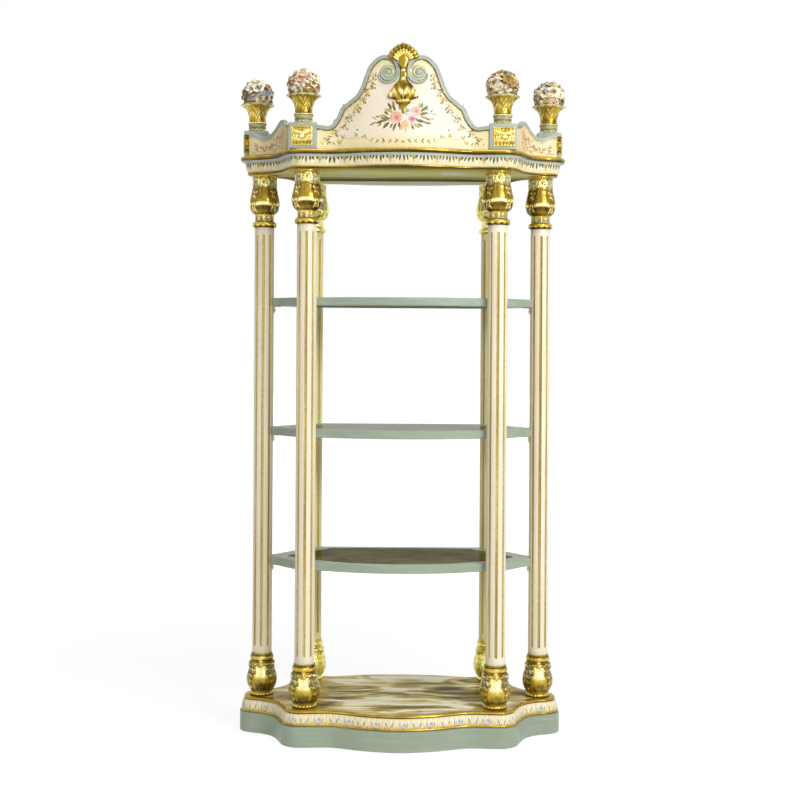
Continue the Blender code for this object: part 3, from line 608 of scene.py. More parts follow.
def gold_leaf(graph):
    """Burnished gold leaf toned by the relief that a piece holds: darker in the hollows, partly a dark
    glaze and partly painted shade, and lighter on the crests and on what faces up as painted highlight;
    broad noise paints soft reflections over it.
    """
    # Two broad noises paint soft reflections and glints over the gold; the fine noise is wear
    painted_reflections = graph.noise(7, 2)
    painted_sheen = graph.noise(24, 2)
    wear = graph.noise(120, 3)
    # Painted light: the back pieces are drawn lighter and yellower, as if lit, and lose their green
    # patches
    behind = graph.behind()
    relief = graph.attribute("relief") + behind * 0.4
    tone = relief + (painted_reflections - 0.5) * 0.36 + (painted_sheen - 0.5) * 0.36 + (wear - 0.5) * 0.18
    gold = graph.ramp(tone, gilt_stops())
    gold = graph.mix(behind * 0.34, gold, "eee65a")
    mask = graph.attribute("painted").stretch(0.42, 0.58) * (1 - behind)
    stops = ((0.15, "42401f"), (0.42, "7d784a"), (0.7, "a7a47c"), (0.95, "cfcfa8"))
    green = graph.ramp(relief + (wear - 0.5) * 0.8, stops)
    return {
        "Base Color": graph.mix(mask, gold, green),
        "Metallic": 0.7 - mask * 0.7,
        "Roughness": 0.18 + wear * 0.14 + mask * 0.2,
        "Normal": graph.raised(wear, 0.0005, 0.35),
    }


def gilt_flutes(graph):
    """The shafts' cream paint, with gold leaf in the flutes, and a painted yellow glow on the back shafts
    that stands in for the light that they catch.
    """
    mottle = graph.noise(7, 3, (1, 1, 0.35))
    streak = graph.noise(60, 3, (1, 1, 0.03))
    wear = graph.noise(150, 3)
    behind = graph.behind()
    gilt = graph.attribute("gilt").stretch(0.3, 0.62)
    cream = graph.mix(mottle.stretch(0.35, 0.7), colours().shaft, "f9efd4")
    cream = graph.mix(streak.stretch(0.45, 0.8) * 0.25, cream, "d2bd8e")
    # Painted light: the back shafts are drawn yellower, as if lit
    cream = graph.mix(behind * 0.72, cream, "f7ee9c")
    stops = ((0.25, "6e5b28"), (0.5, "b29a52"), (0.72, "e8d894"))
    gold = graph.ramp(streak * 0.7 + wear * 0.3, stops)
    return {
        "Base Color": graph.mix(gilt, cream, gold),
        "Metallic": gilt * 0.4,
        "Roughness": 0.34 - gilt * 0.06 + wear * 0.08,
        "Normal": graph.raised(wear, 0.0003, 0.4),
    }


def green_paint(graph):
    """Satin grey-green paint with brush marks, paler where the mesh asks, and an old gilt line where the
    mesh asks for it; on a scroll's eye the paler gilt along the curl is a painted highlight.
    """
    marks = graph.noise(36, 4, (0.25, 0.25, 3.0), 0.4)
    cloud = graph.noise(3.5, 3)
    wear = graph.noise(70, 2)
    pale = graph.attribute("pale")
    green = graph.mix(cloud.stretch(0.3, 0.7) * 0.5, colours().green, "8f9c8a")
    green = graph.mix(graph.place("Z").stretch(1.9, 1.97) * 0.6, green, "abada4")
    green = graph.mix(marks.stretch(0.45, 0.75) * 0.3, green, "bcc6b4")
    green = graph.mix(pale, green, "ccd4c6")
    gilt = graph.attribute("gilt").stretch(0.45, 0.55)
    gold = graph.ramp(wear, ((0.3, "54491a"), (0.5, "7d7230"), (0.7, "b2a860")))
    gold = graph.mix(pale * 0.85, gold, "d9dc9a")
    return {
        "Base Color": graph.mix(gilt, green, gold),
        "Metallic": gilt * (0.6 - pale * 0.4),
        "Roughness": 0.36 + marks * 0.12 - gilt * 0.15,
        "Normal": graph.raised(marks, 0.0004, 0.35),
    }


def cream_paint(graph):
    """Satin cream, yellower towards the edge, and browner where the mesh says so: on the wings that warm
    brown is partly the field's own tone and partly painted shade.
    """
    cloud = graph.noise(9, 3)
    marks = graph.noise(55, 3, (0.4, 0.4, 2.0))
    border = graph.attribute("border").stretch(0.2, 0.8)
    base = graph.mix(border, colours().cream, colours().border)
    base = graph.mix(cloud.stretch(0.35, 0.75) * 0.45, base, "ecd9bd")
    base = graph.mix(graph.attribute("warm") * (0.6 + cloud * 0.8), base, "dca455")
    return {
        "Base Color": base,
        "Roughness": 0.38 + marks * 0.12,
        "Normal": graph.raised(marks, 0.0003, 0.3),
    }


def stroke_paint(graph):
    """The painter's colours, each stroke holding its own."""
    body = graph.noise(260, 3)
    colour = graph.attribute("paint", "Color")
    return {
        "Base Color": graph.mix(body.stretch(0.4, 0.85) * 0.18, colour, "fff3d6"),
        "Roughness": 0.36 + body * 0.2,
        "Normal": graph.raised(body, 0.0003, 0.4),
    }


def marbled_lacquer(graph):
    """Gold and cream lacquer, marbled in long streaks and polished."""
    streaks = graph.noise(3.4, 5, (1.0, 3.6, 3.6), 1.6, 0.55)
    veins = graph.noise(13, 4, (0.5, 2.6, 2.6), 0.8)
    cloud = graph.noise(2.2, 2)
    stops = ((0.37, "574a18"), (0.425, "8f7c34"), (0.47, "b8a350"), (0.51, "e4d592"), (0.56, "fffbe0"))
    lacquer = graph.ramp(streaks * 0.72 + veins * 0.1 + cloud * 0.18, stops)
    gilt = graph.attribute("gilt").stretch(0.2, 0.9)
    gold = graph.ramp(veins, ((0.3, "7d6018"), (0.55, "bf9a38"), (0.75, "eed98a")))
    return {
        "Base Color": graph.mix(gilt, lacquer, gold),
        "Metallic": 0.05 + gilt * 0.5,
        "Roughness": 0.2 + veins * 0.1,
        "IOR": 1.06,
        "Normal": graph.raised(veins, 0.0005, 0.25),
    }


def soffit_lacquer(graph):
    """Polished olive-gold underside painted with reflections: light bands and broad patches, two glints
    beside the middle, and a dark band near the back.
    """
    streaks = graph.noise(4.2, 4, (0.45, 2.6, 3.0), 0.9, 0.55)
    depth = graph.place("Y") + (graph.noise(5, 2, (0.4, 1, 1)) - 0.5) * 0.04
    # Places from front to back, and the colour at each: bands of painted reflection, light and dark
    stops = (
        (-0.3, "7c7230"), (-0.27, "c8be60"), (-0.2, "e6df88"), (-0.12, "f0ea9c"), (0.000, "d8d074"),
        (0.1, "9c924a"), (0.165, "45411c"), (0.19, "5a5630"), (0.215, "dfe6c8"), (0.3, "f0f6e0"),
    )
    front, back = -0.32, 0.32
    shares = [((place - front) / (back - front), shade) for place, shade in stops]
    shade = graph.ramp(depth.stretch(front, back), shares)
    # Broad patches of painted reflection over the front half
    painted_shine = streaks.stretch(0.51, 0.58) * (1 - depth.stretch(0.06, 0.12)) * depth.stretch(-0.24, -0.16)
    # Two painted glints, left and right of the middle, near the front
    across = graph.place("X").absolute()
    painted_glint = across.stretch(0.11, 0.15) * (1 - across.stretch(0.19, 0.23))
    painted_glint = painted_glint * depth.stretch(-0.19, -0.13) * (1 - depth.stretch(-0.08, -0.02))
    painted_glint = painted_glint * graph.noise(26, 2, (0.35, 2.4, 1)).stretch(0.4, 0.56)
    return {
        "Base Color": graph.mix((painted_shine * 0.35).at_least(painted_glint), shade, "fffff2"),
        "Roughness": 0.4 + streaks * 0.12,
        "IOR": 1.01,
        "Normal": graph.raised(streaks, 0.0006, 0.2),
    }


def pane_glass(graph):
    """Dark polished glass with the faintest haze."""
    haze = graph.noise(11, 3)
    return {
        "Base Color": graph.mix(haze.stretch(0.3, 0.8) * 0.6, colours().glass, "968a3c"),
        "Roughness": 0.06 + haze * 0.06,
        "Alpha": 0.94,
        "IOR": 1.022,
        "Normal": graph.raised(haze, 0.0002, 0.1),
    }


def polished_brass(graph):
    """Polished brass with a little tarnish."""
    tarnish = graph.noise(70, 4)
    stops = ((0.3, "6e5216"), (0.5, "b8923c"), (0.72, "e8cf86"))
    return {
        "Base Color": graph.ramp(tarnish, stops),
        "Metallic": 0.9,
        "Roughness": 0.2 + tarnish * 0.2,
        "Normal": graph.raised(tarnish, 0.0003, 0.3),
    }


def blossom_paint(graph):
    """Glazed blossoms: each has its own tone, a gilt edge and a gilt eye."""
    tone = graph.attribute("tone")
    rim = graph.attribute("rim")
    mottle = graph.noise(160, 3)
    patch = graph.noise(60, 2)
    tones = (
        (0.0, "f8edd4"), (0.22, "efdcb8"), (0.34, "deac96"), (0.42, "f9efd8"), (0.56, "5d8088"),
        (0.62, "f3e6c6"), (0.76, "a9793a"), (0.83, "f3e6c8"), (0.91, "74805c"), (0.96, "76829a"),
    )
    petal = graph.ramp(tone, tones, "CONSTANT")
    petal = graph.mix(rim.stretch(0.1, 0.6), graph.mix(0.45, petal, "b09448"), petal)
    petal = graph.mix(mottle.stretch(0.45, 0.8) * 0.35, petal, "b8a262")
    petal = graph.mix(patch.stretch(0.57, 0.64) * 0.7, petal, "8a7430")
    edge = rim.stretch(0.84, 1.0)
    eye = 1 - rim.stretch(0.12, 0.26)
    gold = graph.ramp(mottle, ((0.3, "5c4a18"), (0.55, "a08430"), (0.75, "e4d08a")))
    gilt = (edge * 0.75).at_least(eye)
    return {
        "Base Color": graph.mix(gilt, petal, gold),
        "Metallic": gilt * 0.4,
        "Roughness": 0.24 + mottle * 0.14,
        "Normal": graph.raised(mottle, 0.0004, 0.4),
    }


FINISHES = {
    describe.__name__: describe
    for describe in (
        gold_leaf, gilt_flutes, green_paint, cream_paint, stroke_paint, marbled_lacquer,
        soffit_lacquer, pane_glass, polished_brass, blossom_paint,
    )
}
# The material slot named for each finish of a piece
SLOTS = {
    "gold_leaf": "gilding", "gilt_flutes": "column_cream", "green_paint": "painted_green",
    "cream_paint": "painted_cream", "stroke_paint": "painted_cream",
    "marbled_lacquer": "marbled_panel", "soffit_lacquer": "marbled_panel",
    "pane_glass": "smoked_glass", "blossom_paint": "flower_ball",
}


def finish_called(name):
    """One of the shelf's finishes, made the first time that it is asked for."""
    material = bpy.data.materials.get(name)
    if material is None:
        material = bpy.data.materials.new(name)
        graph = cleared_graph(material)
        shader = graph.node("ShaderNodeBsdfPrincipled", FINISHES[name](graph))
        graph.node("ShaderNodeOutputMaterial", {"Surface": shader})
    return material


def put(name, data):
    """A new object that holds this data, linked to the scene."""
    piece = bpy.data.objects.new(name, data)
    bpy.context.collection.objects.link(piece)
    return piece


def plain_mesh(name, points, edges=(), faces=()):
    """A mesh from its points, edges and faces."""
    mesh = bpy.data.meshes.new(name)
    mesh.from_pydata([tuple(point) for point in points], edges, faces)
    return mesh


def add_mesh(name, points, faces, finish_name, sharp_above=40, **attributes):
    """A closed mesh as an object, faces outwards, holding one value or colour for each point."""
    mesh = plain_mesh(name, points, faces=faces)
    for key, values in attributes.items():
        if isinstance(values[0], (int, float)):
            mesh.attributes.new(key, "FLOAT", "POINT").data.foreach_set("value", values)
        else:
            flat = [part for value in values for part in opaque(value)]
            mesh.attributes.new(key, "FLOAT_COLOR", "POINT").data.foreach_set("color", flat)
    shell = bmesh.new()
    shell.from_mesh(mesh)
    bmesh.ops.recalc_face_normals(shell, faces=shell.faces)
    shell.to_mesh(mesh)
    shell.free()
    mesh.shade_smooth()
    mesh.set_sharp_from_angle(angle=math.radians(sharp_above))
    mesh.materials.append(finish_called(finish_name))
    return put(name, mesh)


def settle(piece, slot, *nodes):
    """Tie a finished piece to the shelf's one body and hide the solids that it stands for; the slot is
    not used.
    """
    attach(piece, "root")
    if nodes:
        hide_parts(*nodes)


def join_rows(row_count, size):
    """Faces between rings of points, and one at each end."""
    last = (row_count - 1) * size
    faces = []
    for first in range(0, last, size):
        second = first + size
        for index in range(size):
            following = (index + 1) % size
            faces.append((first + index, first + following, second + following, second + index))
    return faces + [tuple(range(size)), tuple(range(last, last + size))]


def add_rows(name, points, size, finish_name, *nodes, sharp_above=40, **attributes):
    """A closed piece of the shelf from rings of this many points."""
    faces = join_rows(len(points) // size, size)
    piece = add_mesh(name, points, faces, finish_name, sharp_above, **attributes)
    settle(piece, SLOTS[finish_name], *nodes)


def board_points(outline, profile, z=0):
    """Rings of points for a board whose edge follows (inset, height) pairs."""
    return [
        (point.x, point.y, z + height) for inset, height in profile for point in outline.inset(inset)
    ]


def add_board(name, outline, profile, z, finish_name, *nodes, **attributes):
    """A board of the shelf; each attribute has one value all over it."""
    points = board_points(outline, profile, z)
    marks = {key: [value] * len(points) for key, value in attributes.items()}
    add_rows(name, points, len(outline.points), finish_name, *nodes, **marks)


def loose_board(name, outline, profile):
    """A board that is still to be cut, or that cuts another."""
    faces = join_rows(len(profile), len(outline.points))
    return add_mesh(name, board_points(outline, profile), faces, "green_paint")


def evaluated(name, source):
    """What a piece's modifiers make of it, as a plain mesh object in its place."""
    bpy.context.view_layer.update()
    seen = source.evaluated_get(bpy.context.evaluated_depsgraph_get())
    mesh = bpy.data.meshes.new_from_object(seen)
    bpy.data.objects.remove(source)
    mesh.name = name
    return put(name, mesh)


class GrownTree(Graph):
    """A Geometry Nodes tree with named inputs."""

    def __init__(self, name, inputs):
        tree = bpy.data.node_groups.new(name, "GeometryNodeTree")
        super().__init__(tree)
        tree.interface.new_socket("Geometry", in_out="INPUT", socket_type="NodeSocketGeometry")
        tree.interface.new_socket("Geometry", in_out="OUTPUT", socket_type="NodeSocketGeometry")
        self.keys = {}
        for label, kind in inputs.items():
            socket = tree.interface.new_socket(label, in_out="INPUT", socket_type=f"NodeSocket{kind}")
            self.keys[label] = socket.identifier
        self.given = self.node("NodeGroupInput").out

    def marked(self, geometry, name, value, domain="POINT"):
        """Geometry with a named value stored on its points or its instances."""
        values = {"Geometry": geometry, "Name": name, "Value": value}
        return self.node("GeometryNodeStoreNamedAttribute", values, data_type="FLOAT", domain=domain)

    def lit_from_above(self, geometry, least, most):
        """Geometry with how far each point faces up stored as its relief: painted light from above,
        lighter on top and shaded underneath.
        """
        facing = self.node("GeometryNodeInputNormal")
        up = self.node("ShaderNodeSeparateXYZ", {0: facing}).out("Z")
        return self.marked(geometry, "relief", up.stretch(-0.9, 0.9, least, most))

    def chance(self, lowest, highest, seed):
        """A random number for each instance."""
        values = {2: lowest, 3: highest, "Seed": seed}
        return self.node("FunctionNodeRandomValue", values, data_type="FLOAT").out(1)

    def end(self, geometry):
        """Close the tree: real geometry with its finish."""
        real = self.node("GeometryNodeRealizeInstances", {0: geometry})
        smooth = self.node("GeometryNodeSetShadeSmooth", {"Geometry": real})
        values = {"Geometry": smooth, "Material": self.given("Finish")}
        self.node("NodeGroupOutput", {0: self.node("GeometryNodeSetMaterial", values)})

    def grow(self, name, source, values):
        """Run the tree on a source mesh; the result is a plain mesh object."""
        source = put(f"{name}_source", source)
        modifier = source.modifiers.new(name, "NODES")
        modifier.node_group = self.tree
        for label, value in values.items():
            modifier[self.keys[label]] = value
        return evaluated(name, source)


def roll_tree():
    """A round roll that follows a closed outline at an inset and a height."""
    tree = GrownTree("gilt_roll", {
        "Inset": "Float", "Height": "Float", "Radius": "Float", "Sides": "Int", "Finish": "Material",
    })
    outward = tree.node("GeometryNodeInputNamedAttribute", {"Name": "outward"}, data_type="FLOAT_VECTOR")
    values = {0: outward, "Scale": tree.given("Inset") * -1}
    inwards = tree.node("ShaderNodeVectorMath", values, operation="SCALE")
    lift = tree.node("ShaderNodeCombineXYZ", {"Z": tree.given("Height")})
    shift = tree.node("ShaderNodeVectorMath", {0: inwards, 1: lift}, operation="ADD")
    values = {"Geometry": tree.given("Geometry"), "Offset": shift}
    path = tree.node("GeometryNodeMeshToCurve", {0: tree.node("GeometryNodeSetPosition", values)})
    values = {"Resolution": tree.given("Sides"), "Radius": tree.given("Radius")}
    ring = tree.node("GeometryNodeCurvePrimitiveCircle", values)
    roll = tree.node("GeometryNodeCurveToMesh", {"Curve": path, "Profile Curve": ring})
    tree.end(tree.lit_from_above(roll, 0.16, 0.64))
    return tree


def bead_tree():
    """Rings of beads, one ring round each point of the source."""
    tree = GrownTree("bead_ring", {
        "Count": "Int", "Ring Radius": "Float", "Bead Radius": "Float", "Finish": "Material",
    })
    values = {"Vertices": tree.given("Count"), "Radius": tree.given("Ring Radius")}
    ring = tree.node("GeometryNodeMeshCircle", values, fill_type="NONE")
    values = {"Radius": tree.given("Bead Radius"), "Subdivisions": 3}
    bead = tree.node("GeometryNodeMeshIcoSphere", values)
    beads = tree.node("GeometryNodeInstanceOnPoints", {"Points": ring, "Instance": bead})
    values = {"Points": tree.given("Geometry"), "Instance": beads}
    rings = tree.node("GeometryNodeInstanceOnPoints", values)
    real = tree.node("GeometryNodeRealizeInstances", {0: rings})
    tree.end(tree.lit_from_above(real, 0.1, 0.95))
    return tree


def add_bead_rings(name, centres, count, ring_radius, bead_radius):
    """Beads round each centre, as one piece."""
    beads = bead_tree().grow(name, plain_mesh(name, centres), {
        "Count": count, "Ring Radius": ring_radius, "Bead Radius": bead_radius,
        "Finish": finish_called("gold_leaf"),
    })
    settle(beads, "gilding")


def leaf_run(across, along, width):
    """Height of a carved leaf, 0 to 1, at a way across its rib and a share along it."""
    if not 0 <= along <= 1:
        return 0
    edge = width * math.sin(math.pi * min(1, along * 0.92 + 0.06)) ** 0.6
    edge *= 1 - 0.2 * abs(math.sin(along * math.pi * 4.5))
    if abs(across) >= edge:
        return 0
    side = abs(across) / edge
    vein = 0.14 * math.cos((side * 1.6 - along * 6) * math.pi * 2)
    rib = 0.3 * max(0, 1 - side * 7)
    return min(1.15, (1 - side**4) * (0.78 + vein) + rib)


def foliage(across, up, pitch):
    """A lively carved ground of overlapping leaf tips, 0 to 1."""
    bend = noise.noise(Vector((across * 45, up * 45, pitch)))
    row = up / pitch + 0.9 * bend
    turn = math.sin(math.pi * (across / pitch + 0.6 * math.sin(math.pi * row) + 0.8 * bend))
    curl = math.cos(math.pi * (row * 0.9 + 0.8 * turn))
    rough = noise.noise(Vector((across, up, pitch)) * 170)
    return 0.5 + 0.34 * turn * curl + 0.3 * rough


def carve(profile, sides, shape):
    """One turned and carved mesh round Z: its points, faces, relief and painted share.

    shape(angle, height, radius) returns (move outwards, relief, painted)."""
    # The relief tone that a shape gives holds painted highlights and shade as well as the carving's
    # hollows
    rows = smooth_line(profile, CARVED_ROWS_PER_STEP)
    points, relief, painted = [], [], []
    for radius, height in rows:
        for angle in turns(sides):
            move, level, paint = shape(angle, height, radius)
            points.append(turned(radius + move, angle, height))
            relief.append(level)
            painted.append(float(paint))
    return points, join_rows(len(rows), sides), relief, painted


def places_of(solid, columns, z):
    """Where each of a turned solid's copies stands."""
    return {where: (*axis_of(f"{solid}_{where}"), z) for where in columns}


def add_carvings(kind, solid, places, profile, shape, sides=CARVED_SIDES):
    """A copy of one carving at each place, in the place of its own solid."""
    points, faces, relief, painted = carve(profile, sides, shape)
    pattern = None
    for where, place in places.items():
        name = f"{kind}_{where}"
        if pattern is None:
            piece = add_mesh(name, points, faces, "gold_leaf", relief=relief, painted=painted)
            pattern = piece.data.copy()
        else:
            piece = put(name, pattern.copy())
        for vertex in piece.data.vertices:
            vertex.co += Vector(place)
        settle(piece, "gilding", f"{solid}_{where}")


def from_axis(angle, count, turn=0.0):
    """The angle from the nearest of several axes, evenly round, the first towards the front."""
    step = math.tau / count
    return (angle + math.pi / 2 + turn + step / 2) % step - step / 2


def foot_shape(angle, height, radius):
    """Ring under beads, bulb with smooth shields among leaves, and two rings at the neck."""
    deep = sizes().leaf_depth
    if height < FOOT_BAND_TOP:
        return 0, 0.3 + 0.3 * bump(height, 0.01, 0.005), 0
    side = from_axis(angle, FOOT_SHIELDS) * radius
    corner = from_axis(angle, FOOT_SHIELDS, math.pi / FOOT_SHIELDS) * radius
    ground = foliage(corner, height, 0.0085)
    if height > FOOT_NECK_Z:
        ring = bump(height, 0.13, 0.0075)
        groove = bump(height, 0.1205, 0.003) + bump(height, 0.1385, 0.0022)
        drop = leaf_run(side, (0.136 - height) / 0.024, 0.011)
        level = 0.42 + 0.26 * ring + 0.36 * (ground - 0.5) - 0.24 * min(1, groove)
        return deep * 0.5 * drop, max(level, 0.85 * drop), 0
    share = (height - FOOT_BULB_Z) / FOOT_BULB_HEIGHT
    inside = read_off(SHIELD_HALVES, share) - abs(side)
    notch = share - 0.93 - abs(side) * 6
    if inside > 0 and notch < 0:
        swell = ease(inside, 0, 0.005)
        groove = bump(inside, 0.001, 0.0013)
        # Painted light on the shield: a highlight near its top, shade in a low band and towards its sides
        painted_shine = between(read_off(SHIELD_SHINE, share), 0.6, 0.7 * ease(abs(side), 0.01, 0.03))
        tone = painted_shine - 0.34 * groove + 0.26 * (ground - 0.5)
        return deep * (0.75 * swell - 0.4 * groove), tone, 0
    ear = bump(corner, 0, 0.0135) * bump(height, 0.104, 0.012)
    curl = ear * (0.45 + 0.55 * math.cos(math.hypot(corner, height - 0.104) * 900))
    lobe = leaf_run(corner, (height - 0.02) / 0.074, 0.016)
    hang = leaf_run(side, 1 - (share - 0.86) / 0.3, 0.012)
    speck = ease(ground, 0.64, 0.86)
    level = max(lobe * 0.6, ground * 0.95, hang)
    patch = bump(abs(corner) - 0.008, 0, 0.012) * bump(height, 0.09, 0.026)
    paint = patch - 0.85 * ground > -0.1
    move = deep * (0.85 * level + 2.3 * ear - 0.3)
    return move, 0.1 + 0.62 * level + 0.45 * speck + 0.45 * curl, paint * (1 - speck)


def capital_shape(angle, height, radius):
    """Ring, painted neck with leaf marks, four big leaves curled at the lip, and a carved frieze."""
    deep = sizes().leaf_depth
    side = from_axis(angle, CAPITAL_LEAVES) * radius
    corner = from_axis(angle, CAPITAL_LEAVES, math.pi / CAPITAL_LEAVES) * radius
    if height < CAPITAL_RING_TOP:
        blob = (0.5 + 0.5 * math.cos(from_axis(angle, 12) * 12)) * bump(height, 0.0055, 0.0052)
        return 0.0008 * blob, 0.1 + 0.58 * bump(height, 0.013, 0.008) + 0.55 * blob, 0
    ground = foliage(corner, height, 0.0096)
    speck = ease(ground, 0.6, 0.8)
    if height < CAPITAL_NECK_TOP:
        mark = leaf_run(from_axis(angle, 10) * radius, (height - 0.0225) / 0.02, 0.007)
        vein = leaf_run(from_axis(angle, 10) * radius, (height - 0.0245) / 0.015, 0.0026)
        low_leaf = bump(height, 0.043, 0.005)
        tone = max(0.34 + 0.6 * ground, 0.34 * mark, 0.95 * vein, 0.5 * low_leaf)
        return deep * 0.5 * mark, tone, mark < 0.25 and low_leaf < 0.4
    if height < CAPITAL_LEAF_TOP:
        lip = 0.08 - 4.0 * side * side + 0.0012 * abs(math.cos(side * 330))
        above, below = ease(height, lip, CAPITAL_LEAF_TOP), ease(height, 0.044, lip)
        half = between(0.031, 0.0225, above) if height > lip else between(0.0215, 0.031, below)
        inside = half - abs(side)
        if inside > 0:
            edge = ease(inside, 0, 0.0065)
            curl = bump(height, lip, 0.008) * edge
            under = ease(lip - height, 0.003, 0.008) - 0.6 * ease(lip - height, 0.015, 0.028)
            vein = 0.08 * math.cos(side * 520) * above
            rough = noise.noise(Vector((side * 90, height * 25, angle)))
            # Painted light on the big leaves: a highlight along the curled lip, painted shade just under
            # it, and darker towards the leaf's edges
            tone = between(0.44, 0.38, above) + 0.7 * curl + 0.1 * math.cos(side * 660) * curl
            tone += vein - 0.26 * under - 0.14 * (1 - edge) + 0.16 * rough
            return deep * (0.45 * edge + 0.55 * curl - 0.35 * under * edge), tone, 0
        away = math.hypot(corner, height - 0.072)
        roll = bump(away, 0.0068, 0.0036)
        level = max(ground * 0.85, roll)
        return deep * (0.9 * level - 0.3), 0.18 + 0.62 * level + 0.6 * speck, 0
    if height > CAPITAL_FRIEZE_TOP:
        return 0, 0.26 + 0.4 * bump(height, 0.1765, 0.0045) + 0.25 * (ground - 0.5), 0
    up = height - CAPITAL_FRIEZE_Z
    scroll = 0
    for centre_side, centre_up, size in CAPITAL_SCROLLS:
        away = math.hypot(abs(side) - centre_side, up - centre_up)
        scroll = max(scroll, bump(away, size * 0.66, size * 0.34), 0.8 * bump(away, 0, size * 0.26))
    stem = bump(abs(side) - 0.35 * up, 0, 0.0022) * bump(up, 0.011, 0.014)
    side_curl = bump(abs(corner), 0.0135, 0.0048) * bump(up, 0.013, 0.018)
    level = max(scroll, stem, side_curl * 0.9, ground * 0.62)
    patch = bump(corner, 0, 0.0125) * bump(height, 0.15, 0.019)
    paint = patch - ground > -0.24
    tone = 0.14 + 0.86 * level + 0.34 * speck
    return deep * (level - 0.25), tone + 0.25 * paint, paint * (1 - ease(level, 0.58, 0.8))


def vase_shape(angle, height, radius):
    """Painted neck between beads and a ring, then a cup of flaring leaves with a green collar."""
    deep = sizes().leaf_depth
    if height < VASE_NECK_TOP:
        return 0, 0.72 - 0.34 * bump(height, 0.013, 0.004), height > 0.001
    if height < VASE_RING_TOP:
        return 0, 0.12 + 0.74 * bump(height, 0.0298, 0.0045), 0
    if height < VASE_CUP_TOP:
        share = (height - VASE_RING_TOP) / (VASE_CUP_TOP - VASE_RING_TOP)
        side = from_axis(angle, VASE_LEAVES) * radius
        beside = from_axis(angle, VASE_LEAVES, math.pi / VASE_LEAVES) * radius
        rough = noise.noise(Vector((side * 60, height * 60, angle)))
        front_leaf = leaf_run(side, 0.04 + share * 0.84, 0.015 + 0.015 * share)
        back_leaf = leaf_run(beside, 0.1 + share * 0.74, 0.009 + 0.012 * share)
        wave = abs(side) ** 0.8 * 190 - height * 300 + 1.2 + 1.6 * rough
        stripe = ease(math.cos(wave), -0.1, 0.95)
        level = max(front_leaf**0.6 * (0.42 + 0.46 * stripe), back_leaf * (0.28 + 0.34 * (1 - stripe)))
        return deep * (0.8 * level - 0.25) * ease(share, 0, 0.1), 0.1 + 0.92 * level + 0.18 * rough, 0
    petal = abs(math.cos(6 * angle))
    reach = 0.0012 * petal * bump(height, 0.092, 0.0045)
    return reach, 0.55 + 0.4 * petal, height > 0.0893 and petal > 0.3


class BuildBase(bpy.types.Operator):
    """Plinth, painted moulding and marbled panel"""

    bl_idname = "shelf.build_base"
    bl_label = "Base"

    def execute(self, context):
        add_board("plinth_board", PLAN, PLINTH_PROFILE, 0, "green_paint", "plinth")
        add_board("base_core", PLAN, BASE_CORE_PROFILE, MOULDING_Z, "green_paint")
        profile = bands_profile(BASE_BAND_PROFILE)
        add_board("base_band", PLAN, profile, MOULDING_Z, "cream_paint", "base_moulding", border=0.55)
        edge = PLAN.inset(PANEL_INSET)
        points, gilt = [], []
        for share, height, gold in PANEL_RINGS:
            points += [(point.x * share, point.y * share, height) for point in edge]
            gilt += [gold] * len(edge)
        add_rows("marbled_top", points, len(edge), "marbled_lacquer", "base_panel", gilt=gilt)
        return {"FINISHED"}


class BuildRolls(bpy.types.Operator):
    """Gilded rolls that follow the serpentine edge"""

    bl_idname = "shelf.build_rolls"
    bl_label = "Gilded rolls"

    def execute(self, context):
        tree = roll_tree()
        count = len(PLAN.points)
        edges = [(index, (index + 1) % count) for index in range(count)]
        for name, inset, height, radius, nodes in GILT_ROLLS:
            mesh = plain_mesh(name, board_points(PLAN, ((0, 0),)), edges)
            outward = mesh.attributes.new("outward", "FLOAT_VECTOR", "POINT")
            outward.data.foreach_set("vector", [part for way in PLAN.outwards for part in (*way, 0)])
            roll = tree.grow(name, mesh, {
                "Inset": inset, "Height": height, "Radius": radius, "Sides": 16,
                "Finish": finish_called("gold_leaf"),
            })
            settle(roll, "gilding", *nodes)
        return {"FINISHED"}


class BuildFeet(bpy.types.Operator):
    """Carved and gilded feet on beaded rings"""

    bl_idname = "shelf.build_feet"
    bl_label = "Feet"

    def execute(self, context):
        places = places_of("foot", COLUMNS, FOOT_Z)
        add_carvings("carved_foot", "foot", places, FOOT_PROFILE, foot_shape)
        size = sizes()
        centres = [(x, y, z + size.bead_radius) for x, y, z in places.values()]
        ring = FOOT_PROFILE[1][0] - size.bead_radius * 0.72
        add_bead_rings("foot_beads", centres, size.foot_beads, ring, size.bead_radius)
        return {"FINISHED"}


class BuildCapitals(bpy.types.Operator):
    """Carved and gilded capitals"""

    bl_idname = "shelf.build_capitals"
    bl_label = "Capitals"

    def execute(self, context):
        places = places_of("capital", COLUMNS, CAPITAL_Z)
        add_carvings("carved_capital", "capital", places, CAPITAL_PROFILE, capital_shape)
        return {"FINISHED"}


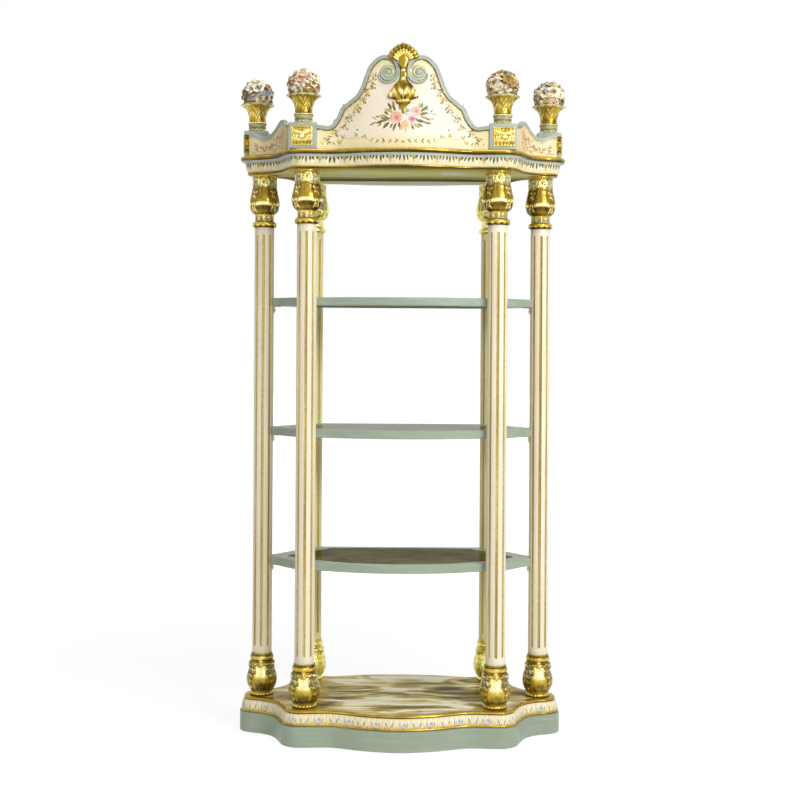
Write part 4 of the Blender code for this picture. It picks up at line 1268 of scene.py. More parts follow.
class BuildShafts(bpy.types.Operator):
    """Fluted shafts, gilded in the flutes"""

    bl_idname = "shelf.build_shafts"
    bl_label = "Shafts"

    def execute(self, context):
        size = sizes()
        sides = size.flute_count * SIDES_PER_FLUTE
        half_width = size.flute_width / 2
        half_angle = half_width / SHAFT_RADIUS
        start, end = size.flute_margin, SHAFT_HEIGHT - size.flute_margin
        quarter_turns = [math.pi / 2 * step / 6 for step in range(7)]
        caps = [half_width * (1 - math.cos(turn)) for turn in quarter_turns]
        heights = [0, SHAFT_EDGE, start * 0.7]
        heights += [start + rise for rise in caps]
        heights += [between(start, end, share / 8) for share in range(1, 8)]
        heights += [end - rise for rise in reversed(caps)]
        heights += [SHAFT_HEIGHT - start * 0.7, SHAFT_HEIGHT - SHAFT_EDGE, SHAFT_HEIGHT]
        points, gilt = [], []
        for row, height in enumerate(heights):
            trim = 0.0006 if row in (0, len(heights) - 1) else 0
            near = min(height - start, end - height)
            round_off = min(1, max(0, near) / half_width)
            reach = math.sqrt(max(0, 1 - (1 - round_off) ** 2))
            for angle in turns(sides):
                away = abs(from_axis(angle, size.flute_count)) / half_angle
                inside = max(0, 1 - (away / max(reach, 1e-6)) ** 2) if near > 0 else 0
                radius = SHAFT_RADIUS - trim - size.flute_depth * math.sqrt(inside)
                points.append(turned(radius, angle, height))
                gilt.append(min(1.0, inside * 3))
        for where, (x, y, z) in places_of("shaft", COLUMNS, SHAFT_Z).items():
            moved = [(x + px, y + py, z + pz) for px, py, pz in points]
            add_rows(f"fluted_shaft_{where}", moved, sides, "gilt_flutes", f"shaft_{where}", gilt=gilt)
        return {"FINISHED"}


def mirrored(half):
    """A closed ring, anticlockwise, from its right half, front to back."""
    return half + [(-x, y) for x, y in reversed(half) if x > 1e-6]


def on_the_way(start, end, shares):
    """Points in shares of the way from one axis to another."""
    return [(between(start.x, end.x, x), between(start.y, end.y, y)) for x, y in shares]


def shelf_corners():
    """The corners of a shelf's outline."""
    front, outer, back = (axis_of(f"shaft_{where}_right") for where in ("front", "outer", "back"))
    half = [(front.x * x, front.y - SHELF_BOW * y) for x, y in SHELF_BOW_SHARES]
    half += on_the_way(front, outer, SHELF_FRONT_SHARES)
    half += on_the_way(outer, back, SHELF_BACK_SHARES)
    half += [(back.x * 0.63, back.y * 0.99), (0, back.y * 0.99)]
    return half


def glass_corners(node):
    """The corners of a pane's outline."""
    lowest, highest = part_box(node)
    return [(highest.x / 0.98 * x, between(lowest.y, highest.y, y)) for x, y in GLASS_SHARES]


def eased_ring(half, steps):
    """A smooth closed ring from the corners of its right half, crossing the middle squarely."""
    lead = (-half[1][0], half[1][1])
    line = smooth_line([lead, *half], steps)[steps:]
    return mirrored([tuple(point) for point in line])


def cut_with(piece, cutter):
    """Take a cutter's shape out of a piece."""
    modifier = piece.modifiers.new("cut", "BOOLEAN")
    modifier.operation = "DIFFERENCE"
    modifier.solver = "EXACT"
    modifier.object = cutter


class BuildShelves(bpy.types.Operator):
    """Painted frames notched round the columns, with their panes of smoked glass"""

    bl_idname = "shelf.build_shelves"
    bl_label = "Shelves"

    def execute(self, context):
        edge = sizes().frame_round
        outline = Outline(eased_ring(shelf_corners(), 6), 1)
        for number in SHELVES:
            node, glass = f"shelf_frame_{number}", f"shelf_glass_{number}"
            bottom, top, seat = low(node).z, high(node).z, low(glass).z
            pane = Outline(eased_ring(glass_corners(glass), 5), 1)
            rows = ((edge, bottom), (0, bottom + edge), (0, top - edge), (edge, top))
            piece = loose_board(f"painted_frame_{number}", outline, rows)
            cutters = []
            for inset, start in ((-PANE_ROOM, seat - FIT_GAP), (PANE_SEAT, bottom - edge)):
                cutters.append(loose_board("pane_room", pane, ((inset, start), (inset, top + edge))))
            for x, y, _ in places_of("shaft", COLUMNS, 0).values():
                reach = SHAFT_RADIUS + FIT_GAP
                angles = turns(NOTCH_SIDES)
                corners = [(x + reach * math.cos(angle), y + reach * math.sin(angle)) for angle in angles]
                rows = ((0, bottom - edge), (0, top + edge))
                cutters.append(loose_board("column_room", Outline(corners, 1), rows))
            for cutter in cutters:
                cut_with(piece, cutter)
            piece = evaluated(piece.name + "_cut", piece)
            for cutter in cutters:
                bpy.data.objects.remove(cutter)
            piece.data.set_sharp_from_angle(angle=math.radians(30))
            settle(piece, "painted_green", node)
            rows = ((PANE_EDGE, seat), (0, seat + PANE_EDGE), (0, top - PANE_EDGE), (PANE_EDGE, top))
            add_board(f"smoked_pane_{number}", pane, rows, 0, "pane_glass", glass)
        return {"FINISHED"}


class FinishBrackets(bpy.types.Operator):
    """Polished brass on the brackets, which keep their shape"""

    bl_idname = "shelf.finish_brackets"
    bl_label = "Brackets"

    def execute(self, context):
        for name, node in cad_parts.items():
            if name.startswith("bracket_"):
                node.data.materials.clear()
                node.data.materials.append(finish_called("polished_brass"))
        return {"FINISHED"}


class BuildCornice(bpy.types.Operator):
    """Soffit, painted band, green cove and the board that carries the gallery"""

    bl_idname = "shelf.build_cornice"
    bl_label = "Cornice"

    def execute(self, context):
        rows = ((SOFFIT_INSET, 0), (SOFFIT_INSET, SOFFIT_THICKNESS))
        add_board("polished_soffit", PLAN, rows, CORNICE_Z, "soffit_lacquer", "soffit_panel")
        profile = bands_profile(CORNICE_BAND_PROFILE)
        add_board("cornice_band", PLAN, profile, CORNICE_Z, "cream_paint", "cornice_moulding", border=0.6)
        add_board("cornice_cove", PLAN, COVE_PROFILE, CORNICE_Z, "green_paint", pale=0.75)
        top = high("crown_moulding").z - CORNICE_Z
        edge = CROWN_INSET + CROWN_EDGE
        rows = ((CROWN_INSET, CROWN_BOARD_Z), (CROWN_INSET, top - CROWN_EDGE), (edge, top))
        add_board("crown_board", PLAN, rows, CORNICE_Z, "green_paint")
        return {"FINISHED"}


class Brush:
    """Painted strokes on a surface, each one a low closed ridge that holds its colour.

    surface(a, b) gives the point and the way outwards at two ways along the surface."""

    def __init__(self, surface):
        self.surface = surface
        self.lift = sizes().paint_lift
        self.points = []
        self.faces = []
        self.paint = []

    def touch(self, place, rise, colour):
        """One point of a stroke, so many lifts above the surface."""
        point, outward = self.surface(*place)
        self.points.append(point + outward * self.lift * rise)
        self.paint.append(tint(colour))

    def close(self, faces, base):
        """Faces whose corners are counted from the stroke's first point."""
        self.faces += [tuple(base + corner for corner in face) for face in faces]

    def stroke(self, line, widths, colour, light=None):
        """A ridge along a line of (a, b) places, with its width at each."""
        line = [Vector(place) for place in line]
        base = len(self.points)
        for index, (place, width) in enumerate(zip(line, widths)):
            along = heading_at(line, index)
            across = Vector((-along.y, along.x)) * width / 2
            for offset, rise in ((-1, -0.5), (0, 1), (1, -0.5)):
                self.touch(place + across * offset, rise, colour if offset else light or colour)
        self.close(join_rows(len(line), 3), base)

    def leaf(self, place, turn, length, width, colour, light=None, bend=0.0):
        """A pointed leaf from its stalk, turned by degrees."""
        line, widths = [], []
        heading = math.radians(turn)
        spot = Vector(place)
        for step in range(LEAF_STEPS + 1):
            share = step / LEAF_STEPS
            line.append(spot.copy())
            widths.append(width * max(0.08, math.sin(math.pi * min(0.97, share * 0.9 + 0.08)) ** 0.8))
            spot += Vector((math.cos(heading), math.sin(heading))) * length / LEAF_STEPS
            heading += math.radians(bend) / LEAF_STEPS
        self.stroke(line, widths, colour, light)

    def line(self, places, width, colour):
        """A fine line through places."""
        run = smooth_line(places, LINE_STEPS)
        self.stroke(run, [width] * len(run), colour)

    def dot(self, place, radius, colour, light=None, squash=1.0, turn=0.0):
        """A round or oval touch."""
        base = len(self.points)
        spot, heading = Vector(place), compass(turn)
        aside = Vector((-heading.y, heading.x))
        for rise, share, tone in ((-0.5, 1.0, colour), (0.6, 0.72, light or colour)):
            for angle in turns(DOT_SIDES):
                reach = heading * math.cos(angle) * radius + aside * math.sin(angle) * radius * squash
                self.touch(spot + reach * share, rise, tone)
        faces = join_rows(2, DOT_SIDES)
        faces[-2] = faces[-2][::-1]
        self.close(faces, base)

    def rose(self, place, radius, deep, middle, pale):
        """A full rose: pale outer petals round darker inner ones."""
        spot = Vector(place)
        petals = 7
        blush, soft, rosy = (
            Vector(tint(pale)).lerp(Vector(tint(middle)), share)[:] for share in (0.15, 0.35, 0.3)
        )
        for petal in range(petals):
            turn = 360 / petals * petal + 15
            tone = soft if petal % 2 else blush
            self.dot(spot + compass(turn) * radius * 0.64, radius * 0.4, tone, pale, 1.25, turn)
        self.lift *= 1.6
        self.dot(spot + Vector((0.05, -0.05)) * radius, radius * 0.6, middle, rosy)
        self.lift *= 1.3
        self.dot(spot + Vector((0.1, -0.06)) * radius, radius * 0.36, deep, middle)
        for ring, tone in ((0.74, middle), (0.52, pale), (0.34, deep), (0.18, pale)):
            arc = [spot + compass(angle) * radius * ring for angle in range(-70, 201, 45)]
            self.stroke(arc, [radius * 0.13] * len(arc), tone)
        self.lift /= 1.6 * 1.3

    def finish(self, name):
        """All the strokes as one piece."""
        piece = add_mesh(name, self.points, self.faces, "stroke_paint", 60, paint=self.paint)
        settle(piece, "painted_cream")


def profile_surface(profile, z):
    """The surface of a band: (way along the outline, share up its profile)."""
    line = smooth_line(profile, PROFILE_STEPS)
    run = distances(line)

    def surface(along, up):
        point, outward = PLAN.at(along)
        index, share = step_at(run, min(max(up, 0), run[-1] * 0.999))
        inset, height = line[index].lerp(line[index + 1], share)
        slope = (line[index + 1] - line[index]).normalized()
        facing = Vector((outward.x * slope.y, outward.y * slope.y, slope.x)).normalized()
        spot = Vector((point.x - outward.x * inset, point.y - outward.y * inset, z + height))
        return spot, facing

    return surface, run[-1]


def paint_base():
    """Buds with their leaves, bare pairs of leaves, and small sprigs between, round the base."""
    chance = random.Random(11)
    surface, reach = profile_surface(BASE_BAND_PROFILE[1:-1], MOULDING_Z)
    brush = Brush(surface)
    groups = round(PLAN.length / BUD_GROUP_LENGTH)
    pitch = PLAN.length / groups
    bodies = ("9a98a6", "93a19f", "8b93aa", "9da39a")
    green, ochre, orange, white = "7a7e58", "a0802e", "d9b062", "fffbee"
    edge, shade = "5b5f66", "8e8aa0"
    # Pair of leaves round a bud and pair alone: way apart, lean in degrees, width, colour
    leaf_pairs = ((0.0125, 10, 0.0056, green), (0.005, 26, 0.0084, edge))
    for group in range(groups):
        start = group * pitch
        for step in range(15):
            place = start + pitch * (step + 0.5) / 15
            tone = (white, "dcc08c", "efdcae")[step % 3]
            length = chance.uniform(0.012, 0.021)
            brush.leaf((place, reach * 0.97), -90 + chance.uniform(-8, 8), length, 0.0036, tone)
        for share in (0.02, 0.13, 0.37, 0.5, 0.64, 0.88):
            place = start + pitch * share + chance.uniform(-0.002, 0.002)
            length = chance.uniform(0.012, 0.018)
            brush.leaf((place, reach * 0.03), 90, length, 0.01, orange, "f5d98c")
            brush.leaf((place + 0.006, reach * 0.03), 62, 0.0125, 0.0044, ochre)
        for half, share in enumerate((0.25, 0.75)):
            place = start + pitch * share + chance.uniform(-0.003, 0.003)
            size = chance.uniform(0.88, 1.08)
            up = reach * chance.uniform(0.38, 0.44)
            body = bodies[(group * 2 + half) % 4]
            apart, lean, wide, tone = leaf_pairs[half]
            for side in (-1, 1):
                stalk = (place + side * apart * size, up - 0.0125 * size)
                brush.leaf(stalk, 90 - side * lean, 0.026 * size, wide, tone, "9fa882", side * 12)
            if half:
                continue
            brush.dot((place + 0.001, up - 0.0026), 0.0136 * size, edge, shade, 0.8, 84)
            brush.lift *= 1.5
            brush.dot((place - 0.0004, up + 0.0008), 0.013 * size, body, "d2d5dc", 0.8, 84)
            stalk = (place - 0.005, up + 0.01 * size)
            brush.leaf(stalk, -84, 0.016 * size, 0.004, white, bend=30)
            stalk = (place + 0.0046, up + 0.006 * size)
            brush.leaf(stalk, -96, 0.012 * size, 0.0026, shade, bend=-20)
            brush.lift /= 1.5
    brush.finish("base_buds")


def paint_cornice():
    """Swags of hanging strokes round the cornice, on paler ones."""
    chance = random.Random(5)
    surface, reach = profile_surface(CORNICE_BAND_PROFILE[1:-1], CORNICE_Z)
    brush = Brush(surface)
    swags = round(PLAN.length / SWAG_LENGTH)
    pitch = PLAN.length / swags
    tones = ("2c280a", "4a4614", "434a26", "383208")
    gold, white, pale = "86701c", "fbf4cf", "ebe0a6"
    strokes = 6
    for swag in range(swags):
        for step in range(5):
            place = (swag + (step + 0.5) / 5) * pitch
            brush.leaf((place, reach * 0.82), -90, 0.0225, 0.015, white, (pale, white)[step % 2])
        brush.lift *= 1.5
        for step in range(strokes):
            share = (step + 0.5) / strokes
            place = (swag + 0.1 + 0.8 * share) * pitch + chance.uniform(-0.0012, 0.0012)
            hang = abs(share - 0.5) * 2
            length = between(0.0235, 0.015, hang) * chance.uniform(0.75, 1.15)
            lean = (share - 0.5) * 40 + chance.uniform(-8, 8)
            tone = tones[(step + swag) % 4]
            brush.leaf((place, reach + 0.003), -90 + lean, length, 0.0118, tone, bend=lean * 0.5)
        for shift, length in ((-0.0036, 0.016), (0.0, 0.026), (0.0038, 0.015)):
            brush.leaf((swag * pitch + shift, reach + 0.0014), -90, length, 0.0068, gold, "b8a044")
        brush.lift /= 1.5
    brush.finish("cornice_strokes")


class PaintBands(bpy.types.Operator):
    """Buds round the base, hanging strokes round the cornice"""

    bl_idname = "shelf.paint_bands"
    bl_label = "Painted bands"

    def execute(self, context):
        paint_base()
        paint_cornice()
        return {"FINISHED"}


# The pediment's upper edge from a die to its head, and over its head, as shares of its half
PEDIMENT_TOP_SHARES = (
    (1, 0.262), (0.94, 0.259), (0.87, 0.25), (0.826, 0.269), (0.779, 0.328), (0.75, 0.385),
    (0.722, 0.445), (0.678, 0.48), (0.6, 0.536), (0.544, 0.579), (0.487, 0.67), (0.454, 0.761),
    (0.408, 0.869), (0.363, 0.927), (0.306, 0.975), (0.238, 1),
)
PEDIMENT_HEAD_SHARES = (
    (0.17, 0.997), (0.124, 0.976), (0.085, 0.935), (0.06, 0.86), (0.043, 0.76), (0, 0.7),
)
PEDIMENT_BACK = 0.014


def pediment_places(shares):
    """Places on the pediment's right half, from its middle and its base."""
    return [Vector((PEDIMENT_HALF_WIDTH * x, PEDIMENT_RISE * z)) for x, z in shares]


def face_point(x, z, proud=0.0):
    """A place on the pediment's bowed face, so far from the middle and above the base."""
    return Vector((x, front_y(x) + PEDIMENT_FACE_INSET - proud, GALLERY_Z + z * PEDIMENT_FIT))


def bands_profile(profile):
    """A painted band's profile with rounded steps between its back edges."""
    line = [tuple(pair) for pair in smooth_line(profile[1:-1], PROFILE_STEPS)]
    return [profile[0], *line, profile[-1]]


def face_surface(side):
    """The pediment's face for a brush; side mirrors it."""

    def surface(across, up):
        x = across * side
        slope = (front_y(x + 0.002) - front_y(x - 0.002)) / 0.004
        return face_point(x, up), Vector((slope, -1, 0)).normalized()

    return surface


def paint_bouquet():
    """Roses and small blue flowers among leaves, in the pediment's middle."""
    brush = Brush(face_surface(1))
    olive, moss, pale_leaf, brown = "58551c", "77742e", "bdb468", "403812"
    # Stalk, turn in degrees, length and width, in millimetres
    leaves = (
        (-42, 94, 172, 32, 12), (-58, 95, 146, 24, 9.5), (-64, 89, 200, 26, 9.5),
        (-88, 84, 205, 24, 6), (-86, 92, 148, 20, 6), (-46, 82, 222, 28, 11), (-22, 80, 243, 30, 10),
        (-34, 112, 128, 24, 11), (-26, 120, 110, 22, 10), (-10, 124, 95, 18, 9), (48, 126, 62, 24, 10),
        (56, 118, 35, 34, 11), (54, 110, 8, 28, 11.5), (56, 104, -22, 26, 11), (42, 90, -14, 30, 12),
        (66, 84, -14, 28, 9.5), (34, 78, -38, 26, 10.5), (28, 74, -70, 18, 8.5),
        (90, 116, 60, 14, 5.5), (96, 110, 10, 16, 5.5), (-12, 82, 262, 18, 8.5), (60, 130, 76, 20, 7),
        (-52, 102, 165, 22, 8.5), (-76, 99, 158, 16, 5.5), (-54, 88, 178, 22, 8.5),
        (84, 96, -8, 18, 7), (-34, 78, 236, 18, 7), (-70, 82, 226, 18, 6.5), (-44, 118, 150, 20, 9),
        (-38, 126, 118, 24, 9.5), (-30, 134, 100, 20, 8), (66, 122, 20, 20, 8.5),
        (70, 100, -34, 20, 8.5), (46, 78, -30, 22, 8.5), (-6, 74, 250, 20, 8), (-48, 108, 140, 18, 8),
    )
    for index, (x, z, turn, length, width) in enumerate(leaves):
        tone = (olive, moss, brown)[index % 3]
        light = (moss, pale_leaf, olive)[index % 3]
        stalk = (x / 1000, z / 1000)
        brush.leaf(stalk, turn, length / 1000, width * 1.25 / 1000, tone, light, bend=14)
    brush.line(((-0.04, 0.089), (-0.07, 0.086), (-0.108, 0.076)), 0.002, brown)
    brush.line(((0.048, 0.108), (0.075, 0.112), (0.108, 0.112)), 0.002, brown)
    brush.lift *= 1.7
    brush.rose((-0.0225, 0.0985), 0.022, "a63f44", "cf7a74", "efc2ac")
    brush.rose((0.0425, 0.12), 0.017, "b2565c", "d98f86", "f2ceb8")
    slate, blue, mist = "4b5a5e", "98a8a8", "c4cfcc"
    for turn in range(30, 390, 72):
        brush.dot(Vector((0.015, 0.1165)) + compass(turn) * 0.0075, 0.0066, blue, mist)
    brush.dot((0.0138, 0.1195), 0.0072, slate, blue, 0.8)
    brush.dot((0.018, 0.113), 0.0056, "dfe4de", "f8f8ee")
    brush.rose((0.0285, 0.093), 0.0125, "8f2c58", "c0608a", "e9adba")
    brush.leaf((0.033, 0.093), 8, 0.014, 0.008, "6f3350", "b0607c")
    for turn, length in ((232, 0.022), (252, 0.036), (272, 0.044), (292, 0.03)):
        brush.leaf((0.0075, 0.09), turn, length, 0.011, "d98f5c", "f2c48e")
    brush.leaf((0.024, 0.081), -50, 0.018, 0.009, "8fa57c", "bccaa0")
    brush.finish("bouquet")


def paint_vine(name, side):
    """A leafy vine down one half of the pediment, and sprigs along its base."""
    chance = random.Random(3)
    brush = Brush(face_surface(side))
    gold, ochre, olive, brown = "dcc887", "c0ab62", "8f8444", "76652e"
    vine = mm(
        (88, 250), (106, 222), (99, 205), (119, 185), (127, 166), (145, 145), (156, 118), (181, 100),
        (190, 76), (218, 60), (235, 40), (262, 30),
    )
    run = smooth_line(vine, LINE_STEPS)
    brush.stroke(run, [0.0026] * len(run), ochre)
    for index, place in enumerate(run[1:-1]):
        along = run[index + 2] - run[index]
        heading = math.degrees(math.atan2(along.y, along.x))
        cluster = (index % 5) in (0, 1)
        for flank in ((-1, 1) if cluster else (1 if index % 2 else -1,)):
            tone = (olive, gold, ochre, brown)[(index + flank) % 4]
            length = chance.uniform(0.0095, 0.015) * (1.25 if cluster else 0.9)
            turn = heading + flank * chance.uniform(35, 75)
            brush.leaf(place, turn, length, length * 0.55, tone, bend=-flank * 40)
        if index % 8 == 4:
            curl = []
            for turn in [step * 0.6 for step in range(11)]:
                reach = Vector((math.cos(turn), math.sin(turn))) * 0.011 * (1 - turn / 9)
                curl.append(place + reach + Vector((0.01, 0.004)))
            brush.stroke(curl, [0.0022] * len(curl), ochre)
        if index % 5 == 1:
            brush.dot(place + Vector((-0.007, -0.012)), 0.0042, brown, olive)
    ground = mm((212, 12), (198, 32), (165, 31), (145, 33), (120, 30), (104, 16))
    brush.line(ground, 0.0024, ochre)
    for x, z, turn in (
        (198, 32, 60), (198, 32, 110), (160, 36, 125), (148, 37, 50), (136, 34, 150), (210, 14, 70),
        (210, 14, 120), (120, 30, 60), (106, 18, 115),
    ):
        brush.leaf((x / 1000, z / 1000), turn, 0.0175, 0.0082, olive, ochre, 20)
    for step in range(9):
        spot = (0.006 + 0.0105 * step, 0.013 + 0.004 * (step % 2))
        turn = 90 + (-42 if step % 2 else 38)
        length = 0.0125 + 0.003 * (step % 3)
        brush.leaf(spot, turn, length, 0.0064, (olive, ochre, brown)[step % 3], bend=25)
    for step in range(4):
        spot = (0.224 + 0.013 * step, 0.013)
        brush.leaf(spot, 50 + 30 * (step % 3), 0.013, 0.0066, (olive, ochre)[step % 2])
    brush.dot((0.15, 0.06), 0.0046, "4a5f5c", "6d7f74", 0.7, 80)
    brush.finish(f"vine_{name}")


class BuildPediment(bpy.types.Operator):
    """The bowed panel between the front dies, with its painted field"""

    bl_idname = "shelf.build_pediment"
    bl_label = "Pediment"

    def execute(self, context):
        edge = smooth_line(pediment_places(PEDIMENT_TOP_SHARES), 3)
        edge += pediment_places(PEDIMENT_HEAD_SHARES)
        edge = [place - Vector((0, 0.004)) for place in edge]
        edge += [Vector((-place.x, place.y)) for place in reversed(edge[:-1])]
        rows = 36
        points, border = [], []
        for place in edge:
            for row in range(rows):
                height = place.y * row / (rows - 1)
                near = min(place.y - height, height, PEDIMENT_HALF_WIDTH - abs(place.x))
                near += 0.006 * math.sin(place.x * 70) * math.sin(height * 80)
                points.append(face_point(place.x, height))
                border.append(1 - ease(near, 0.000, 0.07))
            points += [face_point(place.x, height, -PEDIMENT_BACK) for height in (place.y, 0)]
            border += [0.5, 0.5]
        add_rows("painted_pediment", points, rows + 2, "cream_paint", "pediment_panel", border=border)
        paint_bouquet()
        for name, side in reversed(SIDES):
            paint_vine(name, side)
        return {"FINISHED"}


def add_eye(side, name):
    """The pearl in the middle of a scroll, a gilt curl winding round it and a soft band outside."""
    profile = mm(
        (26.2, 0), (26.2, 2.2), (24.4, 4), (21.5, 4.4), (18, 4), (14, 4), (11, 4), (8.6, 5.8),
        (5.2, 8), (0.6, 8.8),
    )
    rings = smooth_line(profile, 5)
    sides = 72
    points, gilt, pale = [], [], []
    for radius, depth in rings:
        for step in range(sides):
            share = step / sides
            angle = math.tau * share
            middle = between(0.0208, 0.0105, share)
            wide = 0.0046 * math.sin(math.pi * between(0.1, 0.96, share)) ** 0.5
            curl = bump(radius, middle, wide)
            x = SCROLL_EYE.x + radius * math.cos(angle)
            z = SCROLL_EYE.y + radius * math.sin(angle)
            points.append(face_point(side * x, z, depth + 0.0036 * curl - 0.0002))
            gilt.append(1.0 if curl > 0.02 else 0.0)
            # Paler along the gilt curl's ridge as a painted highlight, and paler on the soft band outside
            pale.append(max(ease(curl, 0.25, 0.7), 0.6 * ease(radius, 0.019, 0.024)))
    add_rows(f"scroll_eye_{name}", points, sides, "green_paint", gilt=gilt, pale=pale)


class BuildTrims(bpy.types.Operator):
    """Scrolled trims on the pediment's face, each ending in an eye"""

    bl_idname = "shelf.build_trims"
    bl_label = "Scrolled trims"

    def execute(self, context):
        climb = pediment_places(PEDIMENT_TOP_SHARES)
        path = []
        for index, point in enumerate(climb):
            along = heading_at(climb, index)
            path.append(point - Vector((along.y, -along.x)) * TRIM_WIDTH / 2)
        path[0].x = climb[0].x
        for degrees, share in SCROLL_TURNS:
            path.append(SCROLL_EYE + compass(degrees) * SCROLL_REACH * share)
        start = len(climb) / len(path)
        run = smooth_line(path, 7)
        # Places across and share of the depth, with 1 where the gilt line is
        section = (
            (1.00, 0.0, 0), (1.00, 0.55, 0), (0.9, 0.86, 0), (0.66, 1.0, 0), (0.1, 0.9, 0),
            (-0.34, 0.84, 0), (-0.62, 0.86, 0), (-0.74, 0.62, 1), (-0.9, 0.6, 1), (-1.06, 0.4, 1),
            (-1.1, 0.2, 1), (-1.1, 0.0, 1),
        )
        for name, side in SIDES:
            points, gilt = [], []
            for index, middle in enumerate(run):
                along = heading_at(run, index)
                across = Vector((along.y, -along.x)) if index else Vector((0, 1))
                taper = max(0, index / (len(run) - 1) - start) / (1 - start)
                half = TRIM_WIDTH / 2 * between(0.96, 0.36, ease(taper, 0.25, 1))
                cusp = max(max(0, 1 - abs(middle.x - place) / 0.0042) for place in TRIM_CUSPS)
                for share, depth, gold in section:
                    reach = half * share + (0.0056 * cusp if share >= 0.9 else 0)
                    spot = middle + across * reach
                    proud = TRIM_DEPTH * depth * between(1, 0.75, taper**3) - 0.0003 * (depth == 0)
                    points.append(face_point(side * spot.x, spot.y, proud))
                    gilt.append(float(gold))
            add_rows(f"scroll_trim_{name}", points, len(section), "green_paint",
                     f"pediment_trim_{name}", sharp_above=35, gilt=gilt)
            add_eye(side, name)
        return {"FINISHED"}


def add_husk(base_y, bottom):
    """The leafy husk at the crest's foot, and the stem above it."""
    profile = mm(
        (1.5, 0), (5.5, 6), (6.8, 16), (9, 24), (15, 30), (21.5, 34.5), (24, 41), (25, 48), (29, 56),
        (32, 68), (31, 82), (25.5, 96), (18, 106), (13.4, 113), (12.5, 120), (12.2, 129), (12.8, 137),
        (13.6, 143), (13, 149), (13.4, 158), (15, 168), (16, 178),
    )
    side_leaves = mm((45.5, 0), (49.5, 12), (54, 21.5), (60, 18.5), (70, 11), (85, 4.5), (105, 0))
    depth_share = 0.42
    rows = smooth_line(profile, 5)
    sides = 112
    points, relief = [], []
    for radius, height in rows:
        for angle in turns(sides):
            flank = ease(abs(math.cos(angle)), 0.7, 0.97)
            reach = radius + flank * read_off(side_leaves, height)
            x = reach * math.cos(angle)
            ground = foliage(x, height, 0.012)
            fold = 0.5 + 0.5 * math.cos(abs(x) * 300 - (height - 0.055) * 130)
            swell = 0
            if height < 0.03:
                level = 0.3 + 0.34 * ground
            elif height < 0.106:
                middle = bump(height, 0.07, 0.022)
                slit = bump(height, 0.053, 0.009) * bump(abs(x), 0.0058, 0.0032)
                rim = bump(height, 0.042, 0.005) * bump(x, 0, 0.027)
                curl = flank * bump(height, 0.064, 0.012) * bump(abs(x), 0.038, 0.01)
                hollow = flank * (bump(height, 0.05, 0.006) + bump(abs(x), 0.048, 0.006))
                level = 0.36 + 0.62 * fold * middle + 0.45 * rim + 0.6 * curl - 0.6 * slit
                level += 0.4 * (ground - 0.5) - 0.14 * ease(height, 0.084, 0.098) - 0.34 * hollow
                swell = 0.0026 * fold * middle + 0.0024 * rim - 0.0025 * slit + 0.003 * curl
            else:
                knots = max(bump(height, 0.115, 0.0065), bump(height, 0.143, 0.007))
                middle = bump(x, 0, 0.0095)
                level = 0.28 + 0.22 * ground + 0.78 * knots * middle**0.5
                swell = 0.005 * knots * middle
            depth = (reach * depth_share + swell) * math.sin(angle)
            points.append((x, base_y + depth, bottom + height))
            relief.append(level)
    add_rows("crest_husk", points, sides, "gold_leaf", "crest_carving", relief=relief)


def add_shell(base_y, top):
    """The ribbed shell at the crest's head."""
    ribs = SHELL_RIBS
    spread = math.radians(76)
    root = top - 0.064
    columns, rows = ribs * COLUMNS_PER_RIB + 1, 26
    points, relief = [], []
    for column in range(columns):
        share = column / (columns - 1)
        angle = between(-spread, spread, share)
        wave = abs(math.sin(math.pi * share * ribs))
        lean = abs(angle) / spread
        side_reach = read_off(SHELL_REACHES, lean) * (1 - 0.05 * (1 - wave**0.5))
        for row in range(rows):
            out = row / (rows - 1)
            reach = side_reach * out
            outer_ring = ease(out, 0.64, 0.72)
            knob = bump(out, 0.94, 0.07) * wave
            fan = bump(out, 0.5, 0.26)
            groove = bump(out, 0.7, 0.06)
            dome = math.sin(math.pi * min(1, 0.2 + 0.8 * out)) ** 0.6
            depth = 0.004 + 0.0105 * dome + 0.0014 * wave * ease(out, 0.1, 0.5) + 0.0016 * knob
            depth += 0.004 * fan - 0.0012 * groove
            points.append((reach * math.sin(angle), base_y - depth, root + reach * math.cos(angle)))
            inner = 0.36 + 0.44 * fan * (0.4 + 0.6 * wave)
            rim = 0.2 + 0.14 * wave + 0.14 * knob
            relief.append(between(inner, rim, outer_ring) - 0.22 * groove)
        edge = (side_reach * math.sin(angle), base_y - 0.0005, root + side_reach * math.cos(angle))
        points += [edge, (0, base_y - 0.0005, root)]
        relief += [0.15, 0.15]
    size = rows + 2
    add_rows("crest_shell", points, size, "gold_leaf", sharp_above=50, relief=relief)


def add_tongue(base_y, top):
    """The smooth leaf that runs from the fan down to the stem."""
    places = mm(
        (44, 3), (47, 10.5), (52, 15.5), (59, 17.2), (66, 16), (73, 13.5), (79, 10.8), (83, 7),
        (85, 1.5),
    )
    rows = smooth_line(places, 3)
    across = 15
    points, relief = [], []
    for down, half in rows:
        for step in range(across):
            share = between(-1, 1, step / (across - 1))
            depth = 0.015 + 0.005 * max(0, 1 - share**2) ** 0.5
            points.append((half * share, base_y - depth, top - down))
            relief.append(0.44 - 0.24 * ease(abs(share), 0.7, 0.95))
        points += [(half * share, base_y - 0.008, top - down) for share in (0.9, -0.9)]
        relief += [0.1, 0.1]
    size = across + 2
    add_rows("crest_tongue", points, size, "gold_leaf", sharp_above=50, relief=relief)


